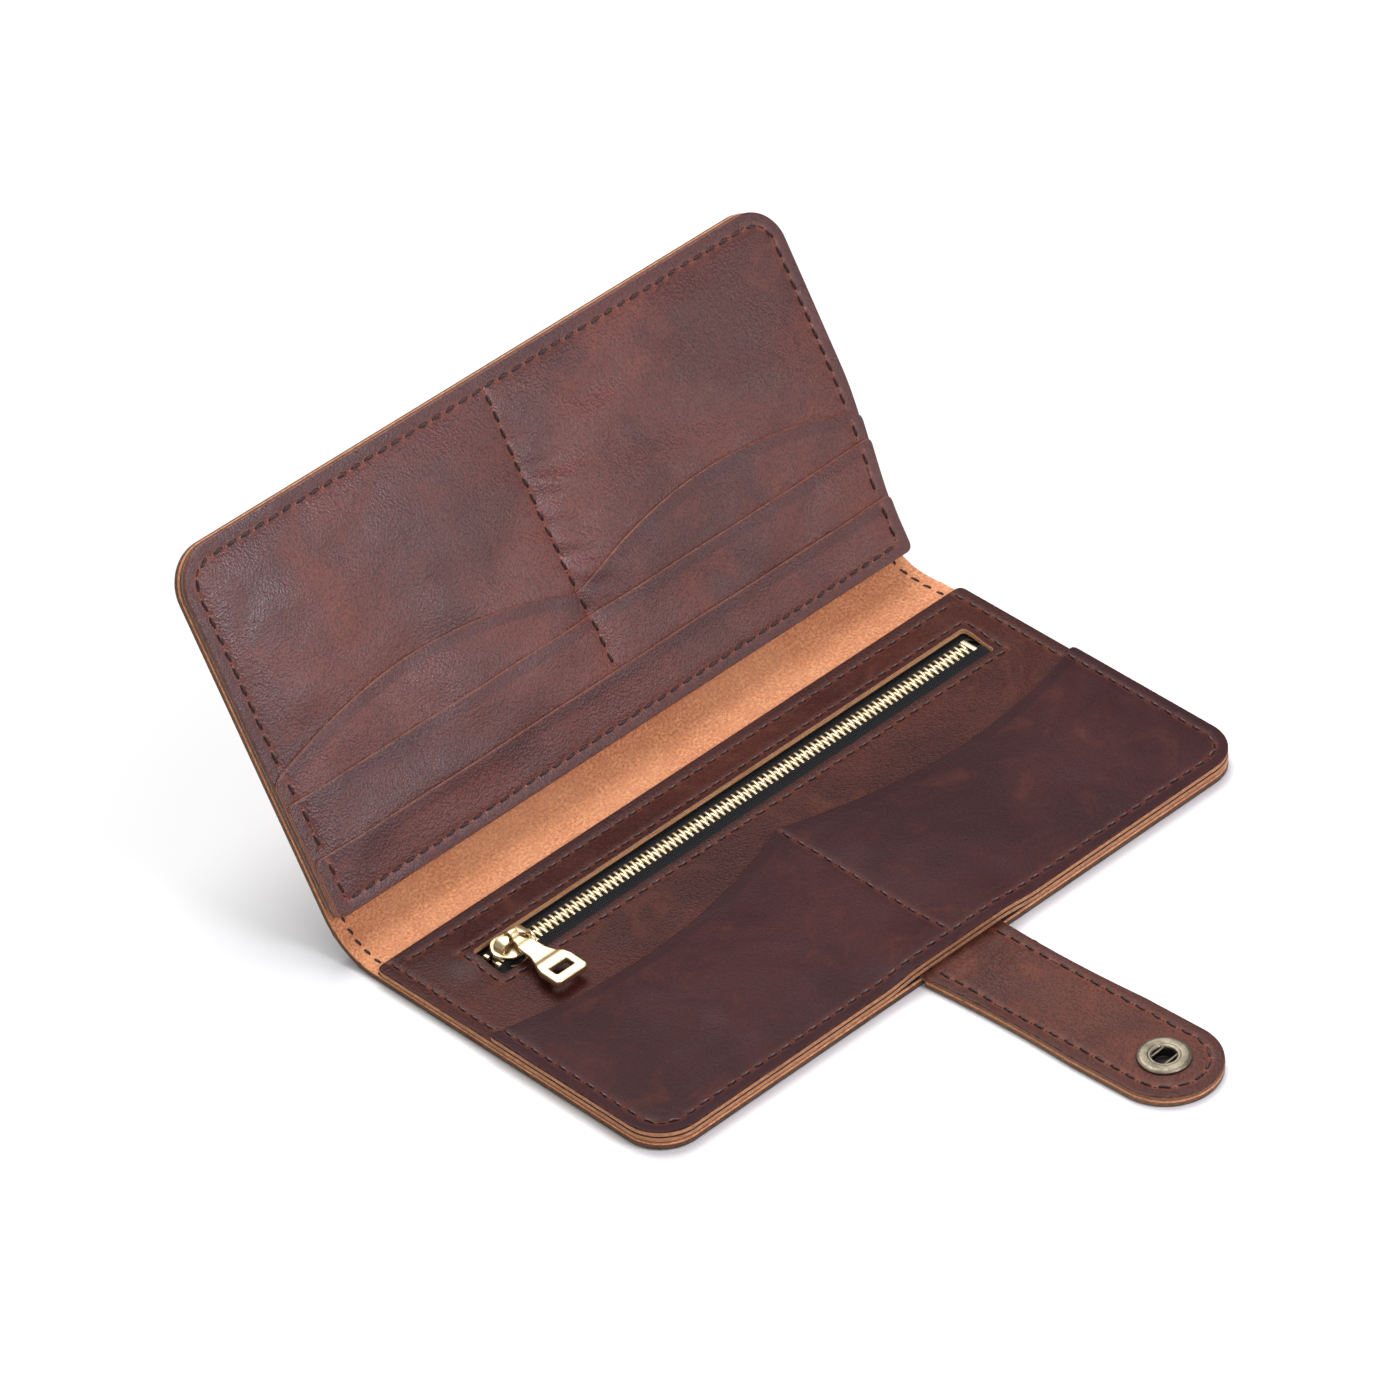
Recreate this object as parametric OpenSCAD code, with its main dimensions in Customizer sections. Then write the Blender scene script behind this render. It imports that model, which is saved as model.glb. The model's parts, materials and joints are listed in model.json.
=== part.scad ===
// Long bifold wallet: a one-piece cover over a zip compartment, a stepped card
// panel and a snap tab. Millimetres. X runs along the spine, Y from the tab side
// to the spine, Z up. The origin is the middle of the lower flap's underside,
// where the wallet rests.
//
// Both flaps are drawn in a flap frame: y is the distance from the fold towards
// the outer edge, and z is the height above the cover's outer face.

/* [Wallet] */
// Length of the wallet along its spine
wallet_length = 190; // [178:1:228]
// Depth of the lower flap, from its fold to its outer edge
lower_depth = 93; // [88:0.5:112]
// Depth of the upper flap, from its fold to its outer edge
upper_depth = 90; // [85:0.5:108]
// Radius of the rounded outer corners
corner_r = 10.5; // [6:0.5:16]

/* [Spine] */
// Angle that the upper flap stands at, above the lower flap
open_angle = 59; // [45:1:75]
// Radius of the spine's outer face as the wallet stands open
spine_r = 18.5; // [17.5:0.1:24]
// Slit between the cover's stiff lengths at each fold line
fold_gap = 0.8; // [0.7:0.1:1.2]

/* [Leather] */
// Thickness of the cover
cover_t = 1.8; // [1.5:0.1:2.2]
// Thickness of the zip compartment's lining
lining_t = 0.5; // [0.4:0.1:0.8]
// Thickness of the panel that holds the zip
zip_panel_t = 1.5; // [1.2:0.1:1.8]
// Thickness of the front pocket's leather
front_pocket_t = 1.5; // [1:0.1:1.8]
// Thickness of the divider behind the card panel
divider_t = 1.3; // [1:0.1:1.6]
// Thickness of the card panel
card_panel_t = 1.5; // [1:0.1:1.8]
// Thickness of each card pocket
card_pocket_t = 0.8; // [0.6:0.1:1]

/* [Card pockets] */
// How far the card panel overhangs the fold
panel_overhang = 0.7; // [0:0.1:1]
// Distance of the front card pocket's mouth from the fold
card_front_y = 13.8; // [11:0.2:17]
// Distance of the middle card pocket's mouth from the fold
card_middle_y = 28; // [24:0.2:30]
// Distance of the domed card pocket's mouth from the fold, at its ends
card_dome_y = 33.8; // [32:0.2:38]
// Height of each dome above its ends
card_dome_rise = 9; // [5:0.5:11]

/* [Front pocket] */
// Distance of the front pocket's mouth from the fold, at its sides
pocket_side_y = 37.5; // [36:0.5:46]
// Distance of the front pocket's mouth from the fold, at the middle seam
pocket_peak_y = 34; // [31:0.5:40]
// Distance of each scoop's lowest point from the fold
pocket_scoop_y = 44.1; // [42:0.5:54]

/* [Zip] */
// Length of the zip window
window_length = 159.6; // [140:0.2:165]
// Width of the zip window
window_w = 10; // [9.8:0.1:13]
// Distance of the window's middle line from the fold
window_y = 19; // [18:0.5:22]
// Offset of the window along the spine
window_shift = 2.8; // [0:0.2:4]
// Distance of the zip panel's free edge from the fold
zip_panel_edge = 1; // [0.9:0.1:3]
// Width of each zip tape
tape_w = 11; // [10:0.5:12]
// Thickness of the zip tape
tape_t = 0.45; // [0.3:0.05:0.55]
// Distance from one tooth to the next along a tape
tooth_pitch = 1.72; // [1.7:0.01:2.4]
// Size of a tooth along the zip
tooth_l = 0.78; // [0.5:0.02:0.8]
// Thickness of the teeth
tooth_t = 1.6; // [1.4:0.1:1.8]
// Overall width of the closed teeth
chain_w = 5.8; // [5:0.1:6]

/* [Slider] */
// Length of the slider
slider_l = 10.6; // [9:0.2:12]
// Width of the slider at its shoulders
slider_w = 8.6; // [8:0.1:8.6]
// Width of the slider at its tail
slider_tail_w = 6.8; // [6.6:0.1:8]
// Thickness of each slider plate
plate_t = 0.6; // [0.5:0.05:0.7]
// Gap between the slider and what it slides on
slider_clear = 0.15; // [0.1:0.01:0.2]
// Height of the bridge's opening above the slider
bridge_gap = 1.55; // [1.5:0.05:1.7]
// Size of the bridge bar, across and up
bridge_bar = 1.2; // [1:0.05:1.3]
// Length of the pull from the bridge to its end
pull_l = 20; // [16:0.5:22]
// Width of the pull at its end
pull_end_w = 9.6; // [8:0.2:11]
// Width of the pull at its neck
pull_neck_w = 5; // [4:0.2:6]
// Thickness of the pull
pull_t = 1.8; // [1.4:0.1:2]
// Angle that the pull droops at
pull_droop = 2; // [0:0.5:2]

/* [Tab] */
// Length of the tab beyond the lower flap
tab_l = 73; // [66:0.5:82]
// Width of the tab
tab_w = 26.2; // [22:0.2:32]
// How much the tab narrows on each side at its waist
tab_waist = 0.7; // [0.3:0.1:1.5]
// Thickness of each of the tab's two layers
tab_layer_t = 1.5; // [1.2:0.1:1.8]
// Angle that the tab is sewn askew by
tab_skew = 3; // [0:0.5:4]
// Distance of the tab's first fold from the flap's edge
tab_fold_s = 3.5; // [3:0.5:6]
// Distance of the snap from the tab's tip
snap_from_tip = 13.6; // [12:0.2:16]
// Length of the thinned tongue inside the flap
tongue_l = 14; // [10:1:20]

/* [Snap] */
// Diameter of the socket's ring
socket_d = 12.5; // [11:0.1:14]
// Height of the socket's ring above the tab
socket_t = 1; // [0.8:0.1:1.3]
// Diameter of the socket's mouth
socket_bore = 5.7; // [5.4:0.1:6.2]
// Diameter of the stud's head
stud_head_d = 4.8; // [4.4:0.1:5]
// Diameter of the stud's neck
stud_neck_d = 3.2; // [2.8:0.1:3.3]
// Diameter of the socket's spring wire
spring_wire_d = 0.5; // [0.4:0.05:0.5]

/* [Thread] */
// Distance of the rim seam from the edge
seam_inset = 3.4; // [3:0.1:5]
// Distance from one stitch to the next
stitch_pitch = 4.2; // [3.4:0.1:5]
// Length of a stitch
stitch_l = 3.1; // [2.4:0.1:3.3]
// Width of the thread
thread_w = 0.7; // [0.5:0.05:0.9]
// Height of a stitch above the leather
thread_h = 0.35; // [0.25:0.05:0.4]

/* [Hidden] */
$fn = 96;

half_l = wallet_length / 2;
fold_y = lower_depth / 2;

// Heights of the lower flap's layers
lining_z = cover_t;
zip_panel_z = lining_z + lining_t;
front_pocket_z = zip_panel_z + zip_panel_t;
lower_top_z = front_pocket_z + front_pocket_t;

// Heights of the upper flap's layers
divider_z = cover_t;
card_panel_z = divider_z + divider_t;
card_dome_z = card_panel_z + card_panel_t;
card_middle_z = card_dome_z + card_pocket_t;
card_front_z = card_middle_z + card_pocket_t;
upper_top_z = card_front_z + card_pocket_t;
divider_edge = 1;
card_base_seam_y = 2.3;

// The fold lines run inside the cover's thickness
hinge_depth = 0.6;
hinge_z = cover_t - hinge_depth;
half_open = open_angle / 2;
gap_angle = fold_gap / 2 / (spine_r - hinge_z) * 180 / PI;

// The closed wallet: each of the three folds turns by a third of what is left
close_turn = (180 - open_angle) / 3;
strip_chord = 2 * (spine_r - hinge_z) * sin(open_angle / 4);
strip_a = close_turn + open_angle / 4;
strip_b = 2 * close_turn + 3 * open_angle / 4;
closed_rise = strip_chord * (sin(strip_a) + sin(strip_b));
closed_shift = strip_chord * (cos(strip_a) + cos(strip_b));
closed_h = closed_rise + 2 * hinge_z;

// Zip levels: the teeth stand between the slider's two plates
window_x0 = window_shift - window_length / 2;
window_x1 = window_shift + window_length / 2;
plate_z0 = zip_panel_z + slider_clear / 2;
teeth_z0 = plate_z0 + plate_t + slider_clear;
teeth_z1 = teeth_z0 + tooth_t;
plate_z1 = teeth_z1 + slider_clear;
slider_top = plate_z1 + plate_t;
tape_level = (teeth_z0 + teeth_z1 - tape_t) / 2;
tape_end_margin = 5;
window_clear = 0.1;
tape_riser_y = slider_w / 2 + slider_clear;
teeth_slot = 0.3;
top_stop_room = 2.2;
bottom_stop_room = 3.2;
teeth_x0 = window_x0 + top_stop_room;
teeth_count = floor((window_length - top_stop_room - bottom_stop_room) / tooth_pitch);
teeth_x1 = teeth_x0 + teeth_count * tooth_pitch;
stop_gap = 0.3;
top_stop_l = 1;
bottom_stop_l = 1.4;
slider_start = 0.2;
slider_x = teeth_x0 + slider_start + slider_l / 2;
post_l = 2.4;
post_start = 0.5;
post_clear = 0.125;
flange_t = 0.4;
flange_end = 0.1;
bridge_l = 8;
bridge_z = slider_top + bridge_gap + bridge_bar / 2;
bridge_r = 2;
bridge_inner_r = 0.7;
eye_clear = 0.2;
eye_r = bridge_bar / sqrt(2) + eye_clear;
eye_wall = 0.8;
eye_w = 3.4;
pull_end_l = 6;
pull_corner = 1;
pull_hole_from_end = 4;
pull_hole_l = 2.6;
pull_hole_wall = 2;

// Tab: folding it twice carries the socket over the closed wallet onto the stud
tab_t = 2 * tab_layer_t;
stud_flange_t = 0.6;
stud_flange_d = socket_d - 2.5;
snap_seat = 0.1;
tab_bend_l = closed_h + stud_flange_t + socket_t + snap_seat - tab_t;
tab_fold2_s = tab_fold_s + tab_bend_l;
tab_gap = 0.4;
snap_s = tab_l - snap_from_tip;
snap_closed_s = snap_s - tab_fold2_s - tab_fold_s;
stud_x = -snap_closed_s * sin(tab_skew);
stud_y = lower_depth + closed_shift - snap_closed_s * cos(tab_skew);
cap_t = 0.8;
post_wall = 0.5;
stud_neck_l = 1.6;
stud_head_l = 1.35;
spring_clear = 0.3;
spring_spacing = stud_neck_d + spring_wire_d + spring_clear;
spring_end_clear = 0.025;
edge_clear = 0.3;

// Seams keep these distances from steps, folds and one another
step_clear = 1;
narrow_step_clear = 0.4;
tab_fold_clear = 0.9;
seam_crossing = 4;
window_seam_inset = 2.2;
window_corner_clear = 0.8;
spine_stitch_l = stitch_l - 0.4;
spine_stitch_share = 0.44;
spine_stitch_lift = 0.02;

leather = [0.42, 0.24, 0.2];
leather_dark = [0.34, 0.19, 0.18];
suede = [0.78, 0.5, 0.31];
brass = [0.86, 0.75, 0.5];
tape = [0.1, 0.1, 0.11];
bronze = [0.5, 0.46, 0.4];
thread = [0.25, 0.15, 0.14];

// ---- frames and shared shapes ----

module lower_frame() {
    translate([0, fold_y, 0]) mirror([0, 1, 0]) children();
}

module upper_frame() {
    translate([0, fold_y + spine_r * sin(open_angle), spine_r * (1 - cos(open_angle))])
        rotate([open_angle, 0, 0]) children();
}

// Frame on the spine's outer face, turned by an angle from the lower fold
module spine_frame(angle) {
    translate([0, fold_y, spine_r]) rotate([angle, 0, 0]) translate([0, 0, -spine_r]) children();
}

// Tab frame: y is the distance beyond the lower flap's outer edge
module tab_frame() {
    translate([0, fold_y - lower_depth, 0]) rotate(tab_skew) mirror([0, 1, 0]) children();
}

function circle_centre(a, b, c) =
    let (
        d = 2 * (a.x * (b.y - c.y) + b.x * (c.y - a.y) + c.x * (a.y - b.y)),
        aa = a * a,
        bb = b * b,
        cc = c * c
    )
    [
        (aa * (b.y - c.y) + bb * (c.y - a.y) + cc * (a.y - b.y)) / d,
        (aa * (c.x - b.x) + bb * (a.x - c.x) + cc * (b.x - a.x)) / d
    ];

// Disc whose rim passes through three points
module disc_through(a, b, c) {
    centre = circle_centre(a, b, c);
    translate(centre) circle(norm(a - centre), $fn = 360);
}

// Flap outline from a distance beside the fold to the rounded outer edge
module flap_shape(depth, start) {
    translate([-half_l, start]) square([wallet_length, depth - corner_r - start]);
    translate([corner_r - half_l, start]) square([wallet_length - 2 * corner_r, depth - start]);
    for (side = [-1, 1])
        translate([side * (half_l - corner_r), depth - corner_r]) circle(corner_r);
}

// Full-width strip between two distances from the fold
module strip_shape(y0, y1) {
    translate([-half_l, y0]) square([wallet_length, y1 - y0]);
}

module layer(z, t) {
    translate([0, 0, z]) linear_extrude(t) children();
}

module rounded_rect(w, l, r) {
    square([w - 2 * r, l], center = true);
    square([w, l - 2 * r], center = true);
    for (sx = [-1, 1], sy = [-1, 1])
        translate([sx * (w / 2 - r), sy * (l / 2 - r)]) circle(r, $fn = 32);
}

// ---- stitches ----

module stitch(l = stitch_l) {
    translate([0, 0, thread_h / 2]) cube([l, thread_w, thread_h], center = true);
}

// Even stitches from one point to another
module stitch_line(a, b) {
    run = norm(b - a);
    count = floor(run / stitch_pitch);
    for (i = [0 : count - 1])
        translate(a + (b - a) * (i + 0.5) / count) rotate(atan2(b.y - a.y, b.x - a.x)) stitch();
}

// Even stitches round an arc
module stitch_arc(centre, r, a0, a1) {
    count = floor(r * abs(a1 - a0) * PI / 180 / stitch_pitch);
    for (i = [0 : count - 1]) {
        angle = a0 + (a1 - a0) * (i + 0.5) / count;
        translate(centre) rotate(angle) translate([r, 0, 0]) rotate(90) stitch();
    }
}

// Rim seam along one side of a flap, between two distances from the fold
module side_seam(y0, y1) {
    for (side = [-1, 1])
        stitch_line([side * (half_l - seam_inset), y0], [side * (half_l - seam_inset), y1]);
}

// Rim seam round both outer corners and along the outer edge
module outer_seam(depth) {
    for (side = [-1, 1])
        stitch_arc([side * (half_l - corner_r), depth - corner_r], corner_r - seam_inset,
            side > 0 ? 0 : 180, 90);
    stitch_line([corner_r - half_l, depth - seam_inset], [half_l - corner_r, depth - seam_inset]);
}

// ---- lower flap ----

module cover_lower() {
    color(leather) lower_frame() layer(0, cover_t) flap_shape(lower_depth, fold_gap / 2);
}

// The lining is notched round the tab's tongue
module zip_pocket_lining() {
    color(tape) difference() {
        lower_frame() layer(lining_z, lining_t) flap_shape(lower_depth, zip_panel_edge);
        tab_frame() translate([-tab_w / 2 - edge_clear, -tongue_l - edge_clear, lining_z - 1])
            cube([tab_w + 2 * edge_clear, 2 * tongue_l, lining_t + 2]);
    }
}

module window_shape(grow) {
    translate([window_x0 - grow, window_y - window_w / 2 - grow])
        square([window_length + 2 * grow, window_w + 2 * grow]);
}

module zip_panel() {
    tape_reach = 2 * (chain_w / 2 + tape_w);
    color(leather) lower_frame() difference() {
        layer(zip_panel_z, zip_panel_t) flap_shape(lower_depth, zip_panel_edge);
        layer(zip_panel_z - 1, zip_panel_t + 2) window_shape(0);
        translate([window_x0 - tape_end_margin, window_y - tape_reach / 2, zip_panel_z - 1])
            cube([window_length + 2 * tape_end_margin, tape_reach, tape_t + 1]);
    }
}

module front_pocket() {
    color(leather_dark) lower_frame() layer(front_pocket_z, front_pocket_t) difference() {
        flap_shape(lower_depth, pocket_peak_y);
        for (side = [-1, 1])
            disc_through([0, pocket_peak_y], [side * half_l / 2, pocket_scoop_y],
                [side * half_l, pocket_side_y]);
    }
}

// The tape lies flat under the panel and steps up to the teeth inside the window
module zip_tape(side) {
    inner = chain_w / 2;
    step_y = window_w / 2 - window_clear;
    color(tape) lower_frame() translate([window_shift, window_y, 0]) rotate([90, 0, 90]) union() {
        linear_extrude(window_length + 2 * tape_end_margin, center = true) polygon([
            [side * tape_riser_y, zip_panel_z],
            [side * (inner + tape_w), zip_panel_z],
            [side * (inner + tape_w), zip_panel_z + tape_t],
            [side * tape_riser_y, zip_panel_z + tape_t]
        ]);
        linear_extrude(window_length - 2 * window_clear, center = true) polygon([
            [side * inner, tape_level],
            [side * tape_riser_y, tape_level],
            [side * tape_riser_y, zip_panel_z],
            [side * step_y, zip_panel_z],
            [side * step_y, tape_level + tape_t],
            [side * inner, tape_level + tape_t]
        ]);
    }
}

module zip_tape_front() zip_tape(1);

module zip_tape_spine() zip_tape(-1);

// One row of teeth; they stop short of the middle to let the slider's post by
module zip_teeth(side) {
    reach = chain_w / 2 - teeth_slot;
    first = side > 0 ? 0.25 : 0.75;
    color(brass) lower_frame() for (i = [0 : teeth_count - 1])
        translate([
            teeth_x0 + (i + first) * tooth_pitch,
            window_y + side * (chain_w - reach) / 2,
            (teeth_z0 + teeth_z1) / 2
        ])
            cube([tooth_l, reach, tooth_t], center = true);
}

module zip_teeth_front() zip_teeth(1);

module zip_teeth_spine() zip_teeth(-1);

module zip_top_stops() {
    color(brass) lower_frame() for (side = [-1, 1])
        translate([
            teeth_x0 - stop_gap - top_stop_l / 2,
            window_y + side * chain_w / 3,
            tape_level + tape_t / 2
        ])
            cube([top_stop_l, chain_w / 3, tooth_t], center = true);
}

module zip_bottom_stop() {
    color(brass) lower_frame()
        translate([teeth_x1 + stop_gap + bottom_stop_l / 2, window_y, tape_level + tape_t / 2])
            cube([bottom_stop_l, chain_w, tooth_t], center = true);
}

module slider_shape() {
    polygon([
        [-slider_l / 2, -slider_w / 4],
        [-slider_l / 3, -slider_w / 2],
        [-slider_l / 10, -slider_w / 2],
        [slider_l / 2, -slider_tail_w / 2],
        [slider_l / 2, slider_tail_w / 2],
        [-slider_l / 10, slider_w / 2],
        [-slider_l / 3, slider_w / 2],
        [-slider_l / 2, slider_w / 4]
    ]);
}

module slider_bridge() {
    top = bridge_z + bridge_bar / 2;
    rise = top - slider_top;
    rotate([90, 0, 0]) translate([0, 0, -bridge_bar / 2]) linear_extrude(bridge_bar) difference() {
        translate([0, slider_top + rise / 2 - bridge_r / 2])
            rounded_rect(bridge_l, rise + bridge_r, bridge_r);
        translate([0, slider_top + bridge_gap / 2 - bridge_r / 2])
            rounded_rect(bridge_l - 2 * bridge_bar, bridge_gap + bridge_r, bridge_inner_r);
        translate([-bridge_l, slider_top - 2 * bridge_r]) square([2 * bridge_l, 2 * bridge_r]);
    }
}

module zip_slider() {
    post_w = 2 * (teeth_slot - post_clear);
    flange_drop = (tooth_t - tape_t) / 2 - slider_clear;
    color(brass) lower_frame() translate([slider_x, window_y, 0]) union() {
        layer(plate_z0, plate_t) slider_shape();
        layer(plate_z1, plate_t) slider_shape();
        translate([post_start - slider_l / 2, -post_w / 2, plate_z0])
            cube([post_l, post_w, slider_top - plate_z0]);
        for (side = [-1, 1])
            translate([
                -slider_l / 10,
                side * (slider_tail_w - flange_t) / 2 - flange_t / 2,
                plate_z1 - flange_drop
            ])
                cube([slider_l * 0.6 - flange_end, flange_t, flange_drop + plate_t / 2]);
        slider_bridge();
    }
}

// The pull's eye rides on the bridge; its flared plate lies towards the outer edge
module zip_pull() {
    color(brass) lower_frame() translate([slider_x, window_y, bridge_z]) rotate([-pull_droop, 0, 0])
        difference() {
            union() {
                translate([-eye_w / 2, 0, 0]) rotate([0, 90, 0])
                    cylinder(h = eye_w, r = eye_r + eye_wall);
                translate([0, 0, -pull_t / 2]) linear_extrude(pull_t) polygon([
                    [-eye_w / 2, 0],
                    [eye_w / 2, 0],
                    [pull_neck_w / 2, eye_r + eye_wall],
                    [pull_end_w / 2, pull_l - pull_end_l],
                    [pull_end_w / 2, pull_l - pull_corner],
                    [pull_end_w / 2 - pull_corner, pull_l],
                    [pull_corner - pull_end_w / 2, pull_l],
                    [-pull_end_w / 2, pull_l - pull_corner],
                    [-pull_end_w / 2, pull_l - pull_end_l],
                    [-pull_neck_w / 2, eye_r + eye_wall]
                ]);
            }
            translate([-eye_w, 0, 0]) rotate([0, 90, 0]) cylinder(h = 2 * eye_w, r = eye_r);
            translate([0, pull_l - pull_hole_from_end, 0])
                cube([pull_end_w - 2 * pull_hole_wall, pull_hole_l, 2 * pull_t], center = true);
        }
}

// ---- spine ----

module spine_strip(a0, a1) {
    rotate_start = a0 - 90;
    color(suede) translate([-half_l, fold_y, spine_r]) rotate([90, 0, 90])
        rotate([0, 0, rotate_start]) rotate_extrude(angle = a1 - a0, $fn = 360)
            translate([spine_r - cover_t, 0]) square([cover_t, wallet_length]);
}

module cover_spine_lower() spine_strip(gap_angle, half_open - gap_angle);

module cover_spine_upper() spine_strip(half_open + gap_angle, open_angle - gap_angle);

// Stitches that cross the spine at both ends of the wallet, on its hollow face
module spine_seam(a0) {
    spread = (half_open - 2 * gap_angle) * spine_stitch_share / 2;
    sagitta = pow(spine_stitch_l, 2) / 8 / (spine_r - cover_t);
    for (side = [-1, 1], place = [-1, 1])
        spine_frame(a0 + half_open / 2 + place * spread)
            translate([side * (half_l - seam_inset), 0, cover_t + sagitta + spine_stitch_lift])
                rotate(90) stitch(spine_stitch_l);
}

module thread_spine_lower() color(thread) spine_seam(0);

module thread_spine_upper() color(thread) spine_seam(half_open);

// ---- upper flap ----

module cover_upper() {
    color(leather) upper_frame() layer(0, cover_t) difference() {
        flap_shape(upper_depth, fold_gap / 2);
        translate([stud_x, stud_y]) circle(d = stud_neck_d);
    }
}

module bill_divider() {
    color(suede) upper_frame() layer(divider_z, divider_t) flap_shape(upper_depth, divider_edge);
}

module card_panel() {
    color(leather) upper_frame() layer(card_panel_z, card_panel_t)
        flap_shape(upper_depth, -panel_overhang);
}

module card_pocket_domed() {
    peak = card_dome_y + card_dome_rise;
    color(leather) upper_frame() layer(card_dome_z, card_pocket_t) intersection() {
        strip_shape(-panel_overhang, peak);
        union() for (side = [-1, 1])
            disc_through([0, card_dome_y], [side * half_l / 2, peak], [side * half_l, card_dome_y]);
    }
}

module card_pocket_middle() {
    color(leather) upper_frame() layer(card_middle_z, card_pocket_t)
        strip_shape(-panel_overhang, card_middle_y);
}

module card_pocket_front() {
    color(leather_dark) upper_frame() layer(card_front_z, card_pocket_t)
        strip_shape(-panel_overhang, card_front_y);
}

// ---- snap stud on the outside of the upper flap ----

module snap_stud() {
    color(bronze) upper_frame() translate([stud_x, stud_y, 0]) mirror([0, 0, 1]) {
        cylinder(h = stud_flange_t, d = stud_flange_d);
        cylinder(h = stud_flange_t + stud_neck_l, d = stud_neck_d);
        translate([0, 0, stud_flange_t + stud_neck_l]) cylinder(h = stud_head_l, d = stud_head_d);
    }
}

module snap_stud_post() {
    color(bronze) upper_frame() translate([stud_x, stud_y, 0]) cylinder(h = cover_t, d = stud_neck_d);
}

// ---- tab ----

module tab_shape(s0, s1) {
    end_y = tab_l - tab_w / 2;
    waist_y = end_y / 2.8;
    intersection() {
        difference() {
            union() {
                translate([-tab_w / 2, s0]) square([tab_w, end_y - s0]);
                translate([0, end_y]) circle(d = tab_w);
            }
            for (side = [-1, 1])
                disc_through([side * tab_w / 2, 0], [side * (tab_w / 2 - tab_waist), waist_y],
                    [side * tab_w / 2, 2 * waist_y]);
        }
        translate([-tab_w, s0]) square([2 * tab_w, s1 - s0]);
    }
}

module tab_layer(z, s0, s1) {
    color(leather) tab_frame() layer(z, tab_layer_t) tab_shape(s0, s1);
}

// Stub of a tab layer from just beyond the flap's outer edge to the tab's first fold
module tab_root(z) {
    difference() {
        tab_layer(z, -tab_fold_s, tab_fold_s - tab_gap / 2);
        translate([-half_l, fold_y - lower_depth - edge_clear, z - 1])
            cube([wallet_length, tongue_l, tab_layer_t + 2]);
    }
}

// The facing is thinned to a tongue that is sewn between the cover and the zip panel
module tab_root_facing() {
    color(leather) union() {
        tab_root(tab_layer_t);
        tab_frame() layer(lining_z, lining_t) translate([-tab_w / 2 + tab_waist, -tongue_l])
            square([tab_w - 2 * tab_waist, tongue_l + tab_fold_s - tab_gap]);
    }
}

module tab_root_backing() color(leather) tab_root(0);

module tab_bend_facing()
    tab_layer(tab_layer_t, tab_fold_s + tab_gap / 2, tab_fold2_s - tab_gap / 2);

module tab_bend_backing()
    tab_layer(0, tab_fold_s + tab_gap / 2, tab_fold2_s - tab_gap / 2);

module tab_end(z) {
    color(leather) difference() {
        tab_layer(z, tab_fold2_s + tab_gap / 2, tab_l);
        tab_frame() translate([0, snap_s, 0]) {
            translate([0, 0, -1]) cylinder(h = tab_t + 2, d = socket_bore + 2 * post_wall);
            translate([0, 0, -1]) cylinder(h = cap_t + 1, d = socket_d);
        }
    }
}

module tab_end_facing() tab_end(tab_layer_t);

module tab_end_backing() tab_end(0);

module snap_socket() {
    color(bronze) tab_frame() translate([0, snap_s, tab_t]) difference() {
        cylinder(h = socket_t, d = socket_d);
        translate([0, 0, -1]) cylinder(h = socket_t + 2, d = socket_bore);
    }
}

// Two straight wires of the spring cross the socket's mouth
module snap_spring() {
    offset_y = spring_spacing / 2;
    wire_l = 2 * (sqrt(pow(socket_bore / 2, 2) - pow(offset_y + spring_wire_d / 2, 2))
        - spring_end_clear);
    color(bronze) tab_frame() for (side = [-1, 1])
        translate([-wire_l / 2, snap_s + side * offset_y, tab_t + socket_t / 2])
            rotate([0, 90, 0]) cylinder(h = wire_l, d = spring_wire_d, $fn = 24);
}

// The cap's hollow post passes through both layers and holds the socket
module snap_cap() {
    color(bronze) tab_frame() translate([0, snap_s, 0]) difference() {
        union() {
            cylinder(h = cap_t, d = socket_d);
            cylinder(h = tab_t, d = socket_bore + 2 * post_wall);
        }
        translate([0, 0, cap_t]) cylinder(h = tab_t, d = socket_bore);
    }
}

// ---- thread ----

module thread_lower_rim() {
    color(thread) lower_frame() {
        translate([0, 0, front_pocket_z]) side_seam(zip_panel_edge + step_clear, pocket_side_y - step_clear);
        translate([0, 0, lower_top_z]) {
            side_seam(pocket_side_y + step_clear, lower_depth - corner_r);
            outer_seam(lower_depth);
        }
    }
}

module thread_zip_edge() {
    color(thread) lower_frame() translate([0, 0, front_pocket_z])
        stitch_line([seam_inset + seam_crossing - half_l, zip_panel_edge + seam_inset],
            [half_l - seam_inset - seam_crossing, zip_panel_edge + seam_inset]);
}

module thread_zip_window() {
    x0 = window_x0 - window_seam_inset;
    x1 = window_x1 + window_seam_inset;
    y0 = window_y - window_w / 2 - window_seam_inset;
    y1 = window_y + window_w / 2 + window_seam_inset;
    color(thread) lower_frame() translate([0, 0, front_pocket_z]) {
        for (y = [y0, y1])
            stitch_line([x0, y], [x1, y]);
        for (x = [x0, x1])
            stitch_line([x, y0 + window_corner_clear], [x, y1 - window_corner_clear]);
    }
}

module thread_front_pocket() {
    color(thread) lower_frame() translate([0, 0, lower_top_z])
        stitch_line([0, pocket_peak_y + 1.5 * step_clear], [0, lower_depth - seam_inset - step_clear]);
}

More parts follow.
